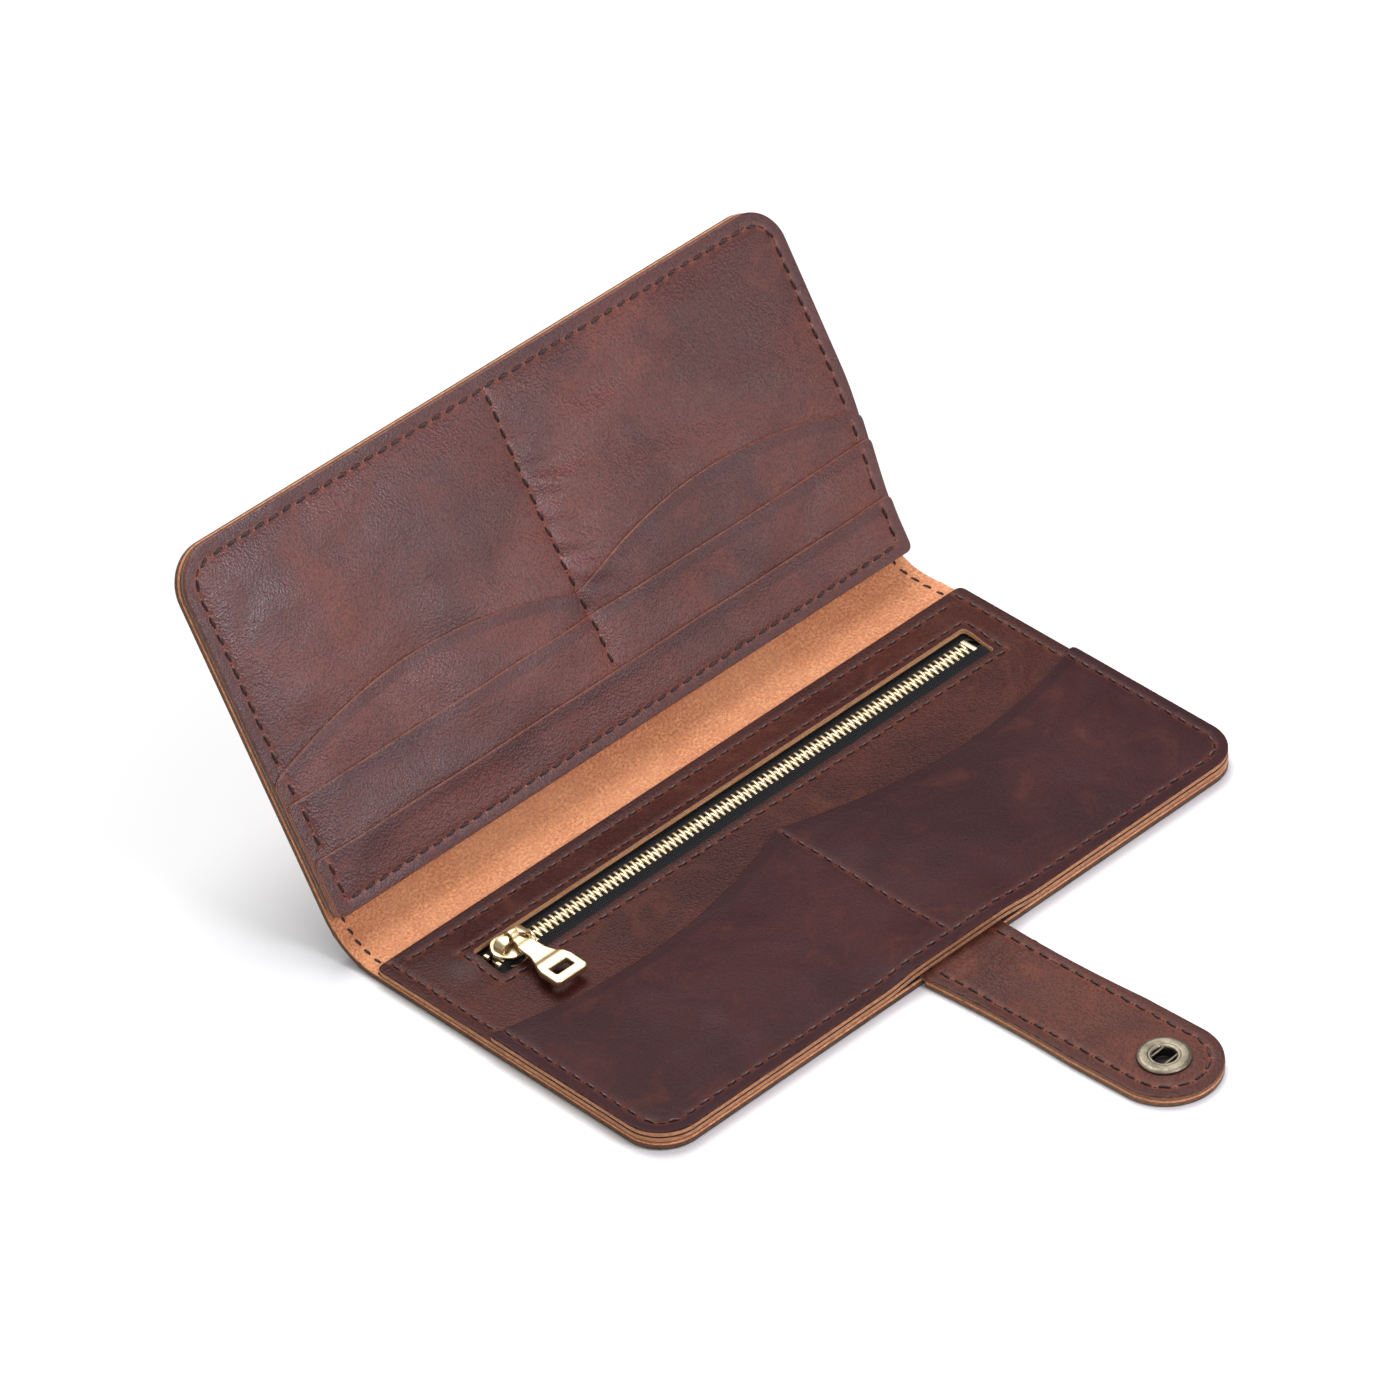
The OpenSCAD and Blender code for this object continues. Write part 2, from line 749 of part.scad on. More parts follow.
module thread_upper_rim() {
    color(thread) upper_frame() {
        translate([0, 0, upper_top_z]) side_seam(card_base_seam_y + step_clear, card_front_y - step_clear);
        translate([0, 0, card_front_z]) side_seam(card_front_y + step_clear, card_middle_y - step_clear);
        translate([0, 0, card_middle_z])
            side_seam(card_middle_y + narrow_step_clear, card_dome_y - narrow_step_clear);
        translate([0, 0, card_dome_z]) {
            side_seam(card_dome_y + 3 * step_clear, upper_depth - corner_r);
            outer_seam(upper_depth);
        }
        mirror([0, 0, 1]) {
            side_seam(step_clear, upper_depth - corner_r);
            outer_seam(upper_depth);
        }
    }
}

module thread_card_divider() {
    color(thread) upper_frame() {
        translate([0, 0, card_dome_z])
            stitch_line([0, card_dome_y + step_clear], [0, upper_depth - seam_inset - step_clear]);
        translate([0, 0, card_middle_z])
            stitch_line([0, card_middle_y + step_clear / 2], [0, card_dome_y - step_clear / 2]);
        translate([0, 0, card_front_z])
            stitch_line([0, card_front_y + step_clear], [0, card_middle_y - step_clear / 2]);
    }
}

module thread_card_base() {
    color(thread) upper_frame() translate([0, 0, upper_top_z])
        stitch_line([seam_inset + step_clear - half_l, card_base_seam_y],
            [half_l - seam_inset - step_clear, card_base_seam_y]);
}

module tab_side_seam(s0, s1) {
    color(thread) tab_frame() translate([0, 0, tab_t]) for (side = [-1, 1])
        stitch_line([side * (tab_w / 2 - seam_inset), s0], [side * (tab_w / 2 - seam_inset), s1]);
}

module thread_tab_bend()
    tab_side_seam(tab_fold_s + tab_fold_clear, tab_fold2_s - tab_fold_clear);

module thread_tab_end() {
    end_y = tab_l - tab_w / 2;
    tab_side_seam(tab_fold2_s + tab_fold_clear, end_y);
    color(thread) tab_frame() translate([0, 0, tab_t])
        stitch_arc([0, end_y], tab_w / 2 - seam_inset, 0, 180);
}

cover_lower();
zip_pocket_lining();
zip_panel();
front_pocket();
zip_tape_front();
zip_tape_spine();
zip_teeth_front();
zip_teeth_spine();
zip_top_stops();
zip_bottom_stop();
zip_slider();
zip_pull();
cover_spine_lower();
cover_spine_upper();
cover_upper();
bill_divider();
card_panel();
card_pocket_domed();
card_pocket_middle();
card_pocket_front();
tab_root_facing();
tab_root_backing();
tab_bend_facing();
tab_bend_backing();
tab_end_facing();
tab_end_backing();
snap_socket();
snap_spring();
snap_cap();
snap_stud();
snap_stud_post();
thread_lower_rim();
thread_upper_rim();
thread_spine_lower();
thread_spine_upper();
thread_zip_edge();
thread_zip_window();
thread_front_pocket();
thread_card_divider();
thread_card_base();
thread_tab_bend();
thread_tab_end();
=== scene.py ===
"""Looks of a long bifold wallet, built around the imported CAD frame.

Mesh code works in millimetres and turns to metres as each mesh is made. A flat
piece is drawn in the pattern it was cut from: u runs along the spine, d is the
distance from the fold, h is the height above the cover's outer face.
"""

import json
import math

import bmesh
import bpy
import numpy as np
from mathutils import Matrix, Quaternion, Vector
from mathutils.geometry import delaunay_2d_cdt

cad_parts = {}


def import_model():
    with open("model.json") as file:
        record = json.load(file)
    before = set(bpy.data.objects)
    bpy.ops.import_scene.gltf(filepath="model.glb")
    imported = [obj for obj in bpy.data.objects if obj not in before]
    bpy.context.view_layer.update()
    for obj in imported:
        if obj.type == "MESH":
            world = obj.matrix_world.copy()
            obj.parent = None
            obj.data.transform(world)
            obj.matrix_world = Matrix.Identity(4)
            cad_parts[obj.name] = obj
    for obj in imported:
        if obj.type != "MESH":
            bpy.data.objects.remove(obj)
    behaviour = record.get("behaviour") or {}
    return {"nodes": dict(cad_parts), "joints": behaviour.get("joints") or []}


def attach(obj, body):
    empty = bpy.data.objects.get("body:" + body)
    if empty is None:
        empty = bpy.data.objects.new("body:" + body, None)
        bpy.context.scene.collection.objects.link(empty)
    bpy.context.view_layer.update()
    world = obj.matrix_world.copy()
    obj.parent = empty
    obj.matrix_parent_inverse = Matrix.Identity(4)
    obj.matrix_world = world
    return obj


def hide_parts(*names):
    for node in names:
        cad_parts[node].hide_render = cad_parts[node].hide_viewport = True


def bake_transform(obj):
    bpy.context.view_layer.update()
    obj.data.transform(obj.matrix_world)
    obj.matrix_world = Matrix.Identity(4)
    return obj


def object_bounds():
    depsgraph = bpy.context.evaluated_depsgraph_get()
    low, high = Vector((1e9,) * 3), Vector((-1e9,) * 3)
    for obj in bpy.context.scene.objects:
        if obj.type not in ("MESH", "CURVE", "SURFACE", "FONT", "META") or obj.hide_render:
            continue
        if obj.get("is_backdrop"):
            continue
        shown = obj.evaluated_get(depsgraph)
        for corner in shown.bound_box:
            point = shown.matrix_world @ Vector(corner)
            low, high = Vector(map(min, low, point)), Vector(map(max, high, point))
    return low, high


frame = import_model()
cad_low, cad_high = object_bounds()
MM = 0.001

# ---------------------------------------------------------------- the frame's own measures


def ease(low, high, value):
    """A smooth step from 0 at low to 1 at high."""
    t = np.clip((value - low) / (high - low), 0, 1)
    return t * t * (3 - 2 * t)


def span(node, coordinates=None):
    """Lowest and highest corner of a CAD node in millimetres, in world or flap coordinates."""
    points = vertices_of(node)
    if coordinates:
        points = coordinates(points)
    return points.min(0), points.max(0)


def vertices_of(node):
    data = frame["nodes"][node].data
    points = np.empty(len(data.vertices) * 3)
    data.vertices.foreach_get("co", points)
    return points.reshape(-1, 3) / MM


folds = {j["name"]: Vector(j["pos_m"]) / MM for j in frame["joints"] if "pos_m" in j}
first, second = folds["spine_fold_lower"], folds["spine_fold_middle"]
open_angle = 4 * math.atan2(second.z - first.z, second.y - first.y)
hinge_h = first.z
fold_y = first.y
spine_r = (second - first).length / 2 / math.sin(open_angle / 4) + hinge_h
spine_l = spine_r * open_angle
cos_open, sin_open = math.cos(open_angle), math.sin(open_angle)
upper_y = fold_y + spine_r * sin_open
upper_z = spine_r * (1 - cos_open)


def lower(u, d, h):
    """Flap coordinates of the lower flap to the world."""
    return np.c_[u, fold_y - d, h]


def upper(u, d, h):
    """Flap coordinates of the upper flap to the world."""
    return np.c_[
        u, upper_y + d * cos_open - h * sin_open, upper_z + d * sin_open + h * cos_open
    ]


def cover(u, q, h):
    """The one-piece cover: q runs from the lower flap (below 0) round the spine to the upper flap."""
    turn = np.clip(q / spine_r, 0, open_angle)
    past = np.where(q < 0, q, np.maximum(q - spine_l, 0))
    radius = spine_r - h
    return np.c_[
        u,
        fold_y + radius * np.sin(turn) + past * np.cos(turn),
        spine_r - radius * np.cos(turn) + past * np.sin(turn),
    ]


def drawn_in(u, d):
    """How far the flap's far end is drawn in beside the spine, where the leather has set."""
    return (0.6 + 4.2 * ease(46, 6, d)) * ease(30, 95, u)


def upper_skin(u, d, h):
    """The upper flap as the leather has set."""
    return upper(u - drawn_in(u, d), d, h)


def cover_skin(u, q, h):
    """The cover as the leather has set."""
    past = ease(0, spine_l, q)
    return cover(u - past * drawn_in(u, np.maximum(q - spine_l, 0)), q, h)


def in_lower(points):
    return np.c_[points[:, 0], fold_y - points[:, 1], points[:, 2]]


def in_upper(points):
    y, z = points[:, 1] - upper_y, points[:, 2] - upper_z
    return np.c_[points[:, 0], y * cos_open + z * sin_open, z * cos_open - y * sin_open]


half_l = span("cover_lower")[1][0]
lower_depth = span("cover_lower", in_lower)[1][1]
upper_depth = span("cover_upper", in_upper)[1][1]
cover_t = span("cover_lower")[1][2]
lining_z0, lining_z1 = span("zip_pocket_lining")[0][2], span("zip_pocket_lining")[1][2]
panel_low, panel_high = span("zip_panel", in_lower)
pocket_low, pocket_high = span("front_pocket", in_lower)
divider_low, divider_high = span("bill_divider", in_upper)
card_low, card_high = span("card_panel", in_upper)
dome_low, dome_high = span("card_pocket_domed", in_upper)
middle_low, middle_high = span("card_pocket_middle", in_upper)
front_low, front_high = span("card_pocket_front", in_upper)
corner_r = 10.5  # the flaps' outer corners
seam_inset = 3.4  # from a flap's edge to its rim seam
stitch_pitch = 4.2
stitch_l = 3.1
below_h = 0.4  # how far the underside stitches stand in from the underside
card_base_seam = 2.3
sharp_angle = math.radians(50)
no_seam = 9.0  # the seam and hole distance painted on a piece without stitches

# the zip window is the inner rectangle of the panel's vertices
panel_points = in_lower(vertices_of("zip_panel"))
inner_points = panel_points[
    (np.abs(panel_points[:, 0]) < half_l - 6)
    & (panel_points[:, 1] < 30)
    & (panel_points[:, 2] > panel_high[2] - 0.01)
    & (panel_points[:, 1] > panel_low[1] + 3)
]
window_low, window_high = inner_points.min(0), inner_points.max(0)
window_mid = (window_low + window_high) / 2

# the tab's own frame: s is the distance beyond the lower flap's outer edge
tab_axis = next(j for j in frame["joints"] if j["name"] == "tab_fold_edge")["axis"]
tab_skew = math.atan2(-tab_axis[1], -tab_axis[0])
tab_fold = [
    math.hypot(folds[n].x, folds[n].y - (fold_y - lower_depth))
    for n in ("tab_fold_edge", "tab_fold_over")
]
cos_skew, sin_skew = math.cos(tab_skew), math.sin(tab_skew)


def tab(u, s, h):
    """Tab coordinates to the world."""
    return np.c_[
        u * cos_skew + s * sin_skew,
        fold_y - lower_depth + u * sin_skew - s * cos_skew,
        h,
    ]


def in_tab(points):
    x, y = points[:, 0], points[:, 1] - (fold_y - lower_depth)
    return np.c_[x * cos_skew + y * sin_skew, x * sin_skew - y * cos_skew, points[:, 2]]


tab_low, tab_high = span("tab_end_facing", in_tab)
tab_l, tab_w, tab_t = tab_high[1], tab_high[0] - tab_low[0], tab_high[2]
tab_waist = 0.7
ring_low, ring_high = span("snap_socket", in_tab)
snap_s = (ring_low[1] + ring_high[1]) / 2
stud_low, stud_high = span("snap_stud", in_upper)
stud_u, stud_d = (stud_low + stud_high)[:2] / 2

# ---------------------------------------------------------------- numbers and fields


def ripple(u, d, size, seed, count=12):
    """A smooth random field, mostly from -1 to 1, whose bumps are about size across."""
    draw = np.random.default_rng(seed)
    total = np.zeros(np.shape(u))
    for _ in range(count):
        heading, phase = draw.uniform(0, 2 * math.pi, 2)
        rate = 2 * math.pi / (size * draw.uniform(1.1, 2.4))
        total += np.sin(rate * (u * math.cos(heading) + d * math.sin(heading)) + phase)
    return total / math.sqrt(count)


def nearest(points, targets, chunk=3000):
    """Distance from each point to the nearest target."""
    found = np.empty(len(points))
    for i in range(0, len(points), chunk):
        gap = points[i : i + chunk, None, :] - targets[None]
        found[i : i + chunk] = np.sqrt((gap**2).sum(2).min(1))
    return found


def inside(points, loop):
    """Which points lie inside a closed loop."""
    crossed = np.zeros(len(points), bool)
    for a, b in zip(loop, np.roll(loop, -1, 0)):
        if a[1] == b[1]:
            continue
        between = (points[:, 1] < a[1]) != (points[:, 1] < b[1])
        x = a[0] + (points[:, 1] - a[1]) * (b[0] - a[0]) / (b[1] - a[1])
        crossed ^= between & (points[:, 0] < x)
    return crossed


# ---------------------------------------------------------------- outlines


def fine(loop, step):
    """A closed loop with every side cut into lengths of at most step."""
    loop = np.asarray(loop, float)
    made = []
    for a, b in zip(loop, np.roll(loop, -1, 0)):
        n = max(1, int(math.ceil(np.linalg.norm(b - a) / step - 1e-6)))
        made += [a + (b - a) * i / n for i in range(n)]
    return np.array(made)


def arc(centre, radius, start, end, step=1.0):
    """Points on an arc, with angles in degrees."""
    n = max(4, int(abs(end - start) * math.pi / 180 * radius / step))
    angles = np.radians(np.linspace(start, end, n + 1))
    return np.c_[centre[0] + radius * np.cos(angles), centre[1] + radius * np.sin(angles)]


def flap_outline(depth, start, half=None, radius=corner_r, mouth=None):
    """A flap's outline. mouth gives the distance of its near edge for an array of u."""
    half = half or half_l
    if mouth is None:
        near = [(-half, start), (half, start)]
    else:
        across = np.linspace(-half, half, 161)
        near = np.c_[across, mouth(across)]
    return np.vstack([
        near,
        arc((half - radius, depth - radius), radius, 0, 90),
        arc((radius - half, depth - radius), radius, 90, 180),
    ])


def softened(loop, times=2):
    """A loop with its corners cut, which rounds a coarse outline."""
    for _ in range(times):
        after = np.roll(loop, -1, 0)
        loop = np.stack([0.75 * loop + 0.25 * after, 0.25 * loop + 0.75 * after], 1)
        loop = loop.reshape(-1, 2)
    return loop


def eased_corners(loop, keep=None, reach=1.5, sharp=35):
    """A fine loop whose sharp corners are rounded, but for those that keep picks."""
    before, after = loop - np.roll(loop, 1, 0), np.roll(loop, -1, 0) - loop
    turn = np.degrees(np.abs(np.angle(
        (after[:, 0] + 1j * after[:, 1]) / (before[:, 0] + 1j * before[:, 1])
    )))
    corners = [i for i in np.nonzero(turn > sharp)[0] if keep is None or not keep[i]]
    drop, added, n = set(), {}, len(loop)
    for i in corners:
        ends = []
        for way in (-1, 1):
            j, cut = i, []
            while np.linalg.norm(loop[j % n] - loop[i]) < reach:
                cut.append(j % n)
                j += way
            drop.update(cut)
            ends.append(loop[j % n])
        t = np.linspace(0, 1, 9)[1:-1, None]
        added[i] = (1 - t) ** 2 * ends[0] + 2 * t * (1 - t) * loop[i] + t * t * ends[1]
    made = []
    for i in range(n):
        if i in added:
            made += list(added[i])
        elif i not in drop:
            made.append(loop[i])
    return np.array(made)


def rounded_rectangle(low, high, radius, step=0.4):
    (x0, y0), (x1, y1) = low, high
    return np.vstack([
        arc((x1 - radius, y0 + radius), radius, -90, 0, step),
        arc((x1 - radius, y1 - radius), radius, 0, 90, step),
        arc((x0 + radius, y1 - radius), radius, 90, 180, step),
        arc((x0 + radius, y0 + radius), radius, 180, 270, step),
    ])


def through(a, b, c):
    """Centre and radius of the circle through three points."""
    (ax, ay), (bx, by), (cx, cy) = a, b, c
    twice = 2 * (ax * (by - cy) + bx * (cy - ay) + cx * (ay - by))
    aa, bb, cc = ax * ax + ay * ay, bx * bx + by * by, cx * cx + cy * cy
    x = (aa * (by - cy) + bb * (cy - ay) + cc * (ay - by)) / twice
    y = (aa * (cx - bx) + bb * (ax - cx) + cc * (bx - ax)) / twice
    return x, y, math.hypot(ax - x, ay - y)


def edge_at(node, coordinates, u, highest):
    """How far from the fold a CAD piece's curved mouth is at u."""
    points = coordinates(vertices_of(node))
    gap = np.abs(np.abs(points[:, 0]) - u)
    near = points[gap < gap.min() + 0.3]
    return near[:, 1].max() if highest else near[:, 1].min()


dome_x, dome_y, dome_r = through(
    (0, edge_at("card_pocket_domed", in_upper, 0, True)),
    (half_l / 2, dome_high[1]),
    (half_l, edge_at("card_pocket_domed", in_upper, half_l, True)),
)
scoop_x, scoop_y, scoop_r = through(
    (0, edge_at("front_pocket", in_lower, 0, False)),
    (half_l / 2, edge_at("front_pocket", in_lower, half_l / 2, False)),
    (half_l, edge_at("front_pocket", in_lower, half_l, False)),
)


def dome_mouth(u):
    return dome_y + np.sqrt(dome_r**2 - (np.abs(u) - dome_x) ** 2)


def scoop_mouth(u):
    return scoop_y + np.sqrt(scoop_r**2 - (np.abs(u) - scoop_x) ** 2)


# ---------------------------------------------------------------- seams


def run(a, b):
    """Stitches (u, d, heading) from one point to another."""
    a, b = np.array(a, float), np.array(b, float)
    count = int(np.linalg.norm(b - a) // stitch_pitch)
    centres = a + (b - a) * ((np.arange(count)[:, None] + 0.5) / count)
    return np.c_[centres, np.full(count, math.atan2(b[1] - a[1], b[0] - a[0]))]


def bend_run(centre, radius, start, end):
    count = int(radius * abs(math.radians(end - start)) // stitch_pitch)
    angles = np.radians(start + (end - start) * (np.arange(count) + 0.5) / count)
    return np.c_[
        centre[0] + radius * np.cos(angles),
        centre[1] + radius * np.sin(angles),
        angles + math.pi / 2,
    ]


def side_run(start, end, half=None):
    u = (half or half_l) - seam_inset
    return np.vstack([run((-u, start), (-u, end)), run((u, start), (u, end))])


def outer_run(depth):
    u, d = half_l - corner_r, depth - corner_r
    return np.vstack([
        bend_run((-u, d), corner_r - seam_inset, 180, 90),
        run((-u, depth - seam_inset), (u, depth - seam_inset)),
        bend_run((u, d), corner_r - seam_inset, 90, 0),
    ])


def seam_points(stitches):
    """Points along the seam and the holes that the stitches enter."""
    ways = np.c_[np.cos(stitches[:, 2]), np.sin(stitches[:, 2])] * stitch_pitch / 2
    centres = stitches[:, :2]
    along = np.vstack([centres + ways * t for t in (-1, -0.67, -0.33, 0, 0.33, 0.67, 1)])
    return along, np.vstack([centres - ways, centres + ways])


# ---------------------------------------------------------------- mesh builders


def make(name, vertices, faces, kinds, mats, paint=None):
    """An object from vertices in millimetres. Faces turn outwards if they don't already."""
    vertices = np.asarray(vertices) * MM
    triangles = np.array([(f[0], f[i], f[i + 1]) for f in faces for i in range(1, len(f) - 1)])
    a, b, c = (vertices[triangles[:, i]] for i in range(3))
    if (a * np.cross(b, c)).sum() < 0:
        faces = [tuple(reversed(f)) for f in faces]
    mesh = bpy.data.meshes.new(name)
    mesh.from_pydata(vertices.tolist(), [], faces)
    for m in mats:
        mesh.materials.append(m)
    mesh.polygons.foreach_set("material_index", np.asarray(kinds, np.int32))
    mesh.polygons.foreach_set("use_smooth", np.ones(len(faces), bool))
    for key, values in (paint or {}).items():
        values = np.asarray(values, np.float32)
        kind = "FLOAT_VECTOR" if values.ndim == 2 else "FLOAT"
        layer = mesh.attributes.new(key, kind, "POINT")
        layer.data.foreach_set("vector" if values.ndim == 2 else "value", values.ravel())
    mesh.update()
    mesh.set_sharp_from_angle(angle=sharp_angle)
    made = bpy.data.objects.new(name, mesh)
    bpy.context.scene.collection.objects.link(made)
    return made


def shifted(loop, inset):
    """A loop moved inwards, with mitred corners."""
    before, after = loop - np.roll(loop, 1, 0), np.roll(loop, -1, 0) - loop
    sides = []
    for way in (before, after):
        way = way / np.linalg.norm(way, axis=1)[:, None]
        sides.append(np.c_[-way[:, 1], way[:, 0]])
    middle = sides[0] + sides[1]
    middle /= np.linalg.norm(middle, axis=1)[:, None]
    lean = np.clip((middle * sides[0]).sum(1), 0.5, 1)
    return loop + middle * (np.asarray(inset) / lean)[:, None]


def cap(loops, extra):
    """Triangles that fill the first loop, less the others, through the extra points."""
    points = np.vstack([*loops, extra]) if len(extra) else np.vstack(loops)
    edges, start = [], 0
    for loop in loops:
        n = len(loop)
        edges += [(start + i, start + (i + 1) % n) for i in range(n)]
        start += n
    placed, sides, faces, from_points, from_sides, _ = delaunay_2d_cdt(
        [Vector(p) for p in points], edges, [], 0, 1e-6
    )
    walls = {tuple(sorted(e)) for e, source in zip(sides, from_sides) if source}
    beside = {}
    for t, face in enumerate(faces):
        for i in range(3):
            beside.setdefault(tuple(sorted((face[i], face[i - 1]))), []).append(t)
    triangles = np.array([list(f) for f in faces])
    corners = np.array([tuple(p) for p in placed])[triangles]
    one, two = corners[:, 1] - corners[:, 0], corners[:, 2] - corners[:, 0]
    areas = np.abs(one[:, 0] * two[:, 1] - one[:, 1] * two[:, 0])
    centres = corners.mean(1)
    within = inside(centres, loops[0])
    for hole in loops[1:]:
        within &= ~inside(centres, hole)
    # triangles that share an open side belong together, and the largest one decides
    keep = np.full(len(faces), -1)
    for first in np.argsort(-areas):
        if keep[first] >= 0:
            continue
        keep[first], waiting, group, outer = 0, [first], [first], False
        while waiting:
            face = faces[waiting.pop()]
            for i in range(3):
                side = tuple(sorted((face[i], face[i - 1])))
                if side not in walls:
                    outer |= len(beside[side]) == 1
                    for t in beside[side]:
                        if keep[t] < 0:
                            keep[t] = 0
                            waiting.append(t)
                            group.append(t)
        keep[group] = within[first] and not outer
    source = np.array([ids[0] if ids else -1 for ids in from_points])
    triangles = source[triangles[keep == 1]]
    return triangles[(triangles >= 0).all(1)]


def plate(
    name, outline, z0, z1, place, mats, holes=(), r=0.25, grid=1.3, lift=None, under=None,
    seams=None, square_at=None, ragged=0.035, seed=1, rim=(0.35, 0.9), detail_below=False,
    dip=0.16, soft_corners=False,
):
    """A flat piece with rounded edges. lift and under raise its top and its underside by
    functions of the pattern; square_at picks the outline's points that are cut square."""
    step = min(1.05, grid)
    whole = fine(outline, step)
    if soft_corners:
        whole = fine(eased_corners(whole, None if square_at is None else square_at(whole)), step)
    if square_at is not None:
        rim = ()
    loops = [whole] + [fine(h, min(step, 0.8)) for h in holes]
    r = min(r, (z1 - z0) * 0.45)
    angles = np.radians((0, 30, 60, 90))
    profile = [(r * (1 - math.cos(a)), r * (1 - math.sin(a))) for a in angles]
    profile += [(r + w, 0.0) for w in rim]
    flat = np.zeros((0, 2))
    seam_line, seam_holes = (None, None) if seams is None else seam_points(seams)
    if grid < 20:
        low, high = loops[0].min(0), loops[0].max(0)
        us, ds = np.arange(low[0], high[0], grid), np.arange(low[1], high[1], grid * 0.87)
        flat = np.stack(np.meshgrid(us, ds), -1)
        flat[1::2, :, 0] += grid / 2
        flat = flat.reshape(-1, 2)
        if seams is not None:
            ways = np.c_[-np.sin(seams[:, 2]), np.cos(seams[:, 2])]
            ways = np.tile(ways, (7, 1))
            rows = [seam_line + ways * side for side in (-0.9, -0.4, 0, 0.4, 0.9)]
            dense = np.unique(np.round(np.vstack(rows), 2), axis=0)
            flat = flat[nearest(flat, seam_line) > 0.9 + grid * 0.5]
            flat = np.vstack([flat, thinned(dense, 0.3)])
        clear = profile[-1][0] + 0.35 * min(grid, 1.2)
        keep = inside(flat, loops[0])
        for loop in loops[1:]:
            keep &= ~inside(flat, loop)
        for loop in loops:
            keep &= nearest(flat, loop) > clear
        flat = flat[keep]

    def heights(points, base, field, dipped):
        h = np.full(len(points), float(base))
        if field is not None:
            h = h + field(points[:, 0], points[:, 1])
        if dipped and seams is not None:
            h -= dip * np.exp(-((nearest(points, seam_line) / 0.75) ** 2))
            h -= 0.3 * np.exp(-((nearest(points, seam_holes) / 0.42) ** 2))
        return h

    flats, hs, faces, kinds, rings_top, rings_low = [], [], [], [], [], []
    across, count = [], 0
    for k, loop in enumerate(loops):
        n = len(loop)
        square = np.zeros(n, bool) if square_at is None or k else square_at(loop)
        rings = []
        for inset, drop in reversed(profile):
            shift = shifted(loop, np.where(square & (inset <= r), 0, inset))
            rings.append((shift, heights(shift, z1, lift, True) - np.where(square, 0, drop), 1))
        top, low = heights(loop, z1 - r, lift, False), heights(loop, z0 + r, under, False)
        for part in (0.66, 0.33):
            rough = ripple(loop[:, 0], loop[:, 1], 1.6, seed + int(part * 10)) * ragged
            ring = shifted(loop, np.where(square, 0, -rough))
            rings.append((ring, low + (top - low) * part, part))
        for inset, drop in profile:
            shift = shifted(loop, np.where(square & (inset <= r), 0, inset))
            rings.append((shift, heights(shift, z0, under, False) + np.where(square, 0, drop), 0))
        for j, (ring, h, share) in enumerate(rings):
            flats.append(ring)
            hs.append(h)
            across.append(np.full(n, float(share)))
            if j:
                kind = 0 if j <= len(profile) - 1 else 1 if j <= len(profile) + 2 else 2
                if k and len(mats) > 3 and j > len(rim) + 1:
                    kind = 3
                a, b = count + (j - 1) * n, count + j * n
                for i in range(n):
                    m = (i + 1) % n
                    faces.append((a + i, b + i, b + m, a + m))
                    kinds.append(kind)
        rings_top.append((count, rings[0][0]))
        rings_low.append((count + (len(rings) - 1) * n, rings[-1][0]))
        count += n * len(rings)
    for rings, base, field, dipped, kind, extra in (
        (rings_top, z1, lift, True, 0, flat),
        (rings_low, z0, under, False, 2, flat if detail_below else flat[:0]),
    ):
        index = np.concatenate([np.arange(at, at + len(loop)) for at, loop in rings])
        index = np.concatenate([index, np.arange(count, count + len(extra))])
        triangles = cap([loop for _, loop in rings], extra)
        triangles = index[triangles]
        if kind == 2:
            triangles = triangles[:, ::-1]
        faces += [tuple(int(i) for i in t) for t in triangles]
        kinds += [kind] * len(triangles)
        if len(extra):
            flats.append(extra)
            hs.append(heights(extra, base, field, dipped))
            across.append(np.full(len(extra), 1.0 if kind == 0 else 0.0))
            count += len(extra)
    points, h = np.vstack(flats), np.concatenate(hs)
    worn = loops[0] if square_at is None else loops[0][~square_at(loops[0])]
    unsewn = np.full(len(points), no_seam)
    paint = {
        "flat": np.c_[points, h] * MM + (seed * 0.37, 0, 0),
        "across": np.concatenate(across),
        "rim": nearest(points, np.vstack([worn, *loops[1:]])),
        "seam": nearest(points, seam_line) if seams is not None else unsewn,
        "hole": nearest(points, seam_holes) if seams is not None else unsewn,
    }
    made = make(name, place(points[:, 0], points[:, 1], h), faces, kinds, mats, paint)
    merge(made)
    return made


def thinned(points, gap):
    """Points with those nearer than gap to an earlier one left out."""
    cells = np.floor(points / gap).astype(int)
    _, index = np.unique(cells, axis=0, return_index=True)
    return points[np.sort(index)]


def merge(made):
    """Joins points that lie on top of each other and closes what is left open."""
    bm = bmesh.new()
    bm.from_mesh(made.data)
    bmesh.ops.remove_doubles(bm, verts=bm.verts, dist=2e-6)
    open_edges = [e for e in bm.edges if len(e.link_faces) == 1]
    if open_edges:
        bmesh.ops.holes_fill(bm, edges=open_edges)
        open_edges = [e for e in bm.edges if len(e.link_faces) == 1]
        if open_edges:
            bmesh.ops.triangle_fill(bm, edges=open_edges, use_beauty=True)
    bm.to_mesh(made.data)
    bm.free()
    made.data.set_sharp_from_angle(angle=sharp_angle)


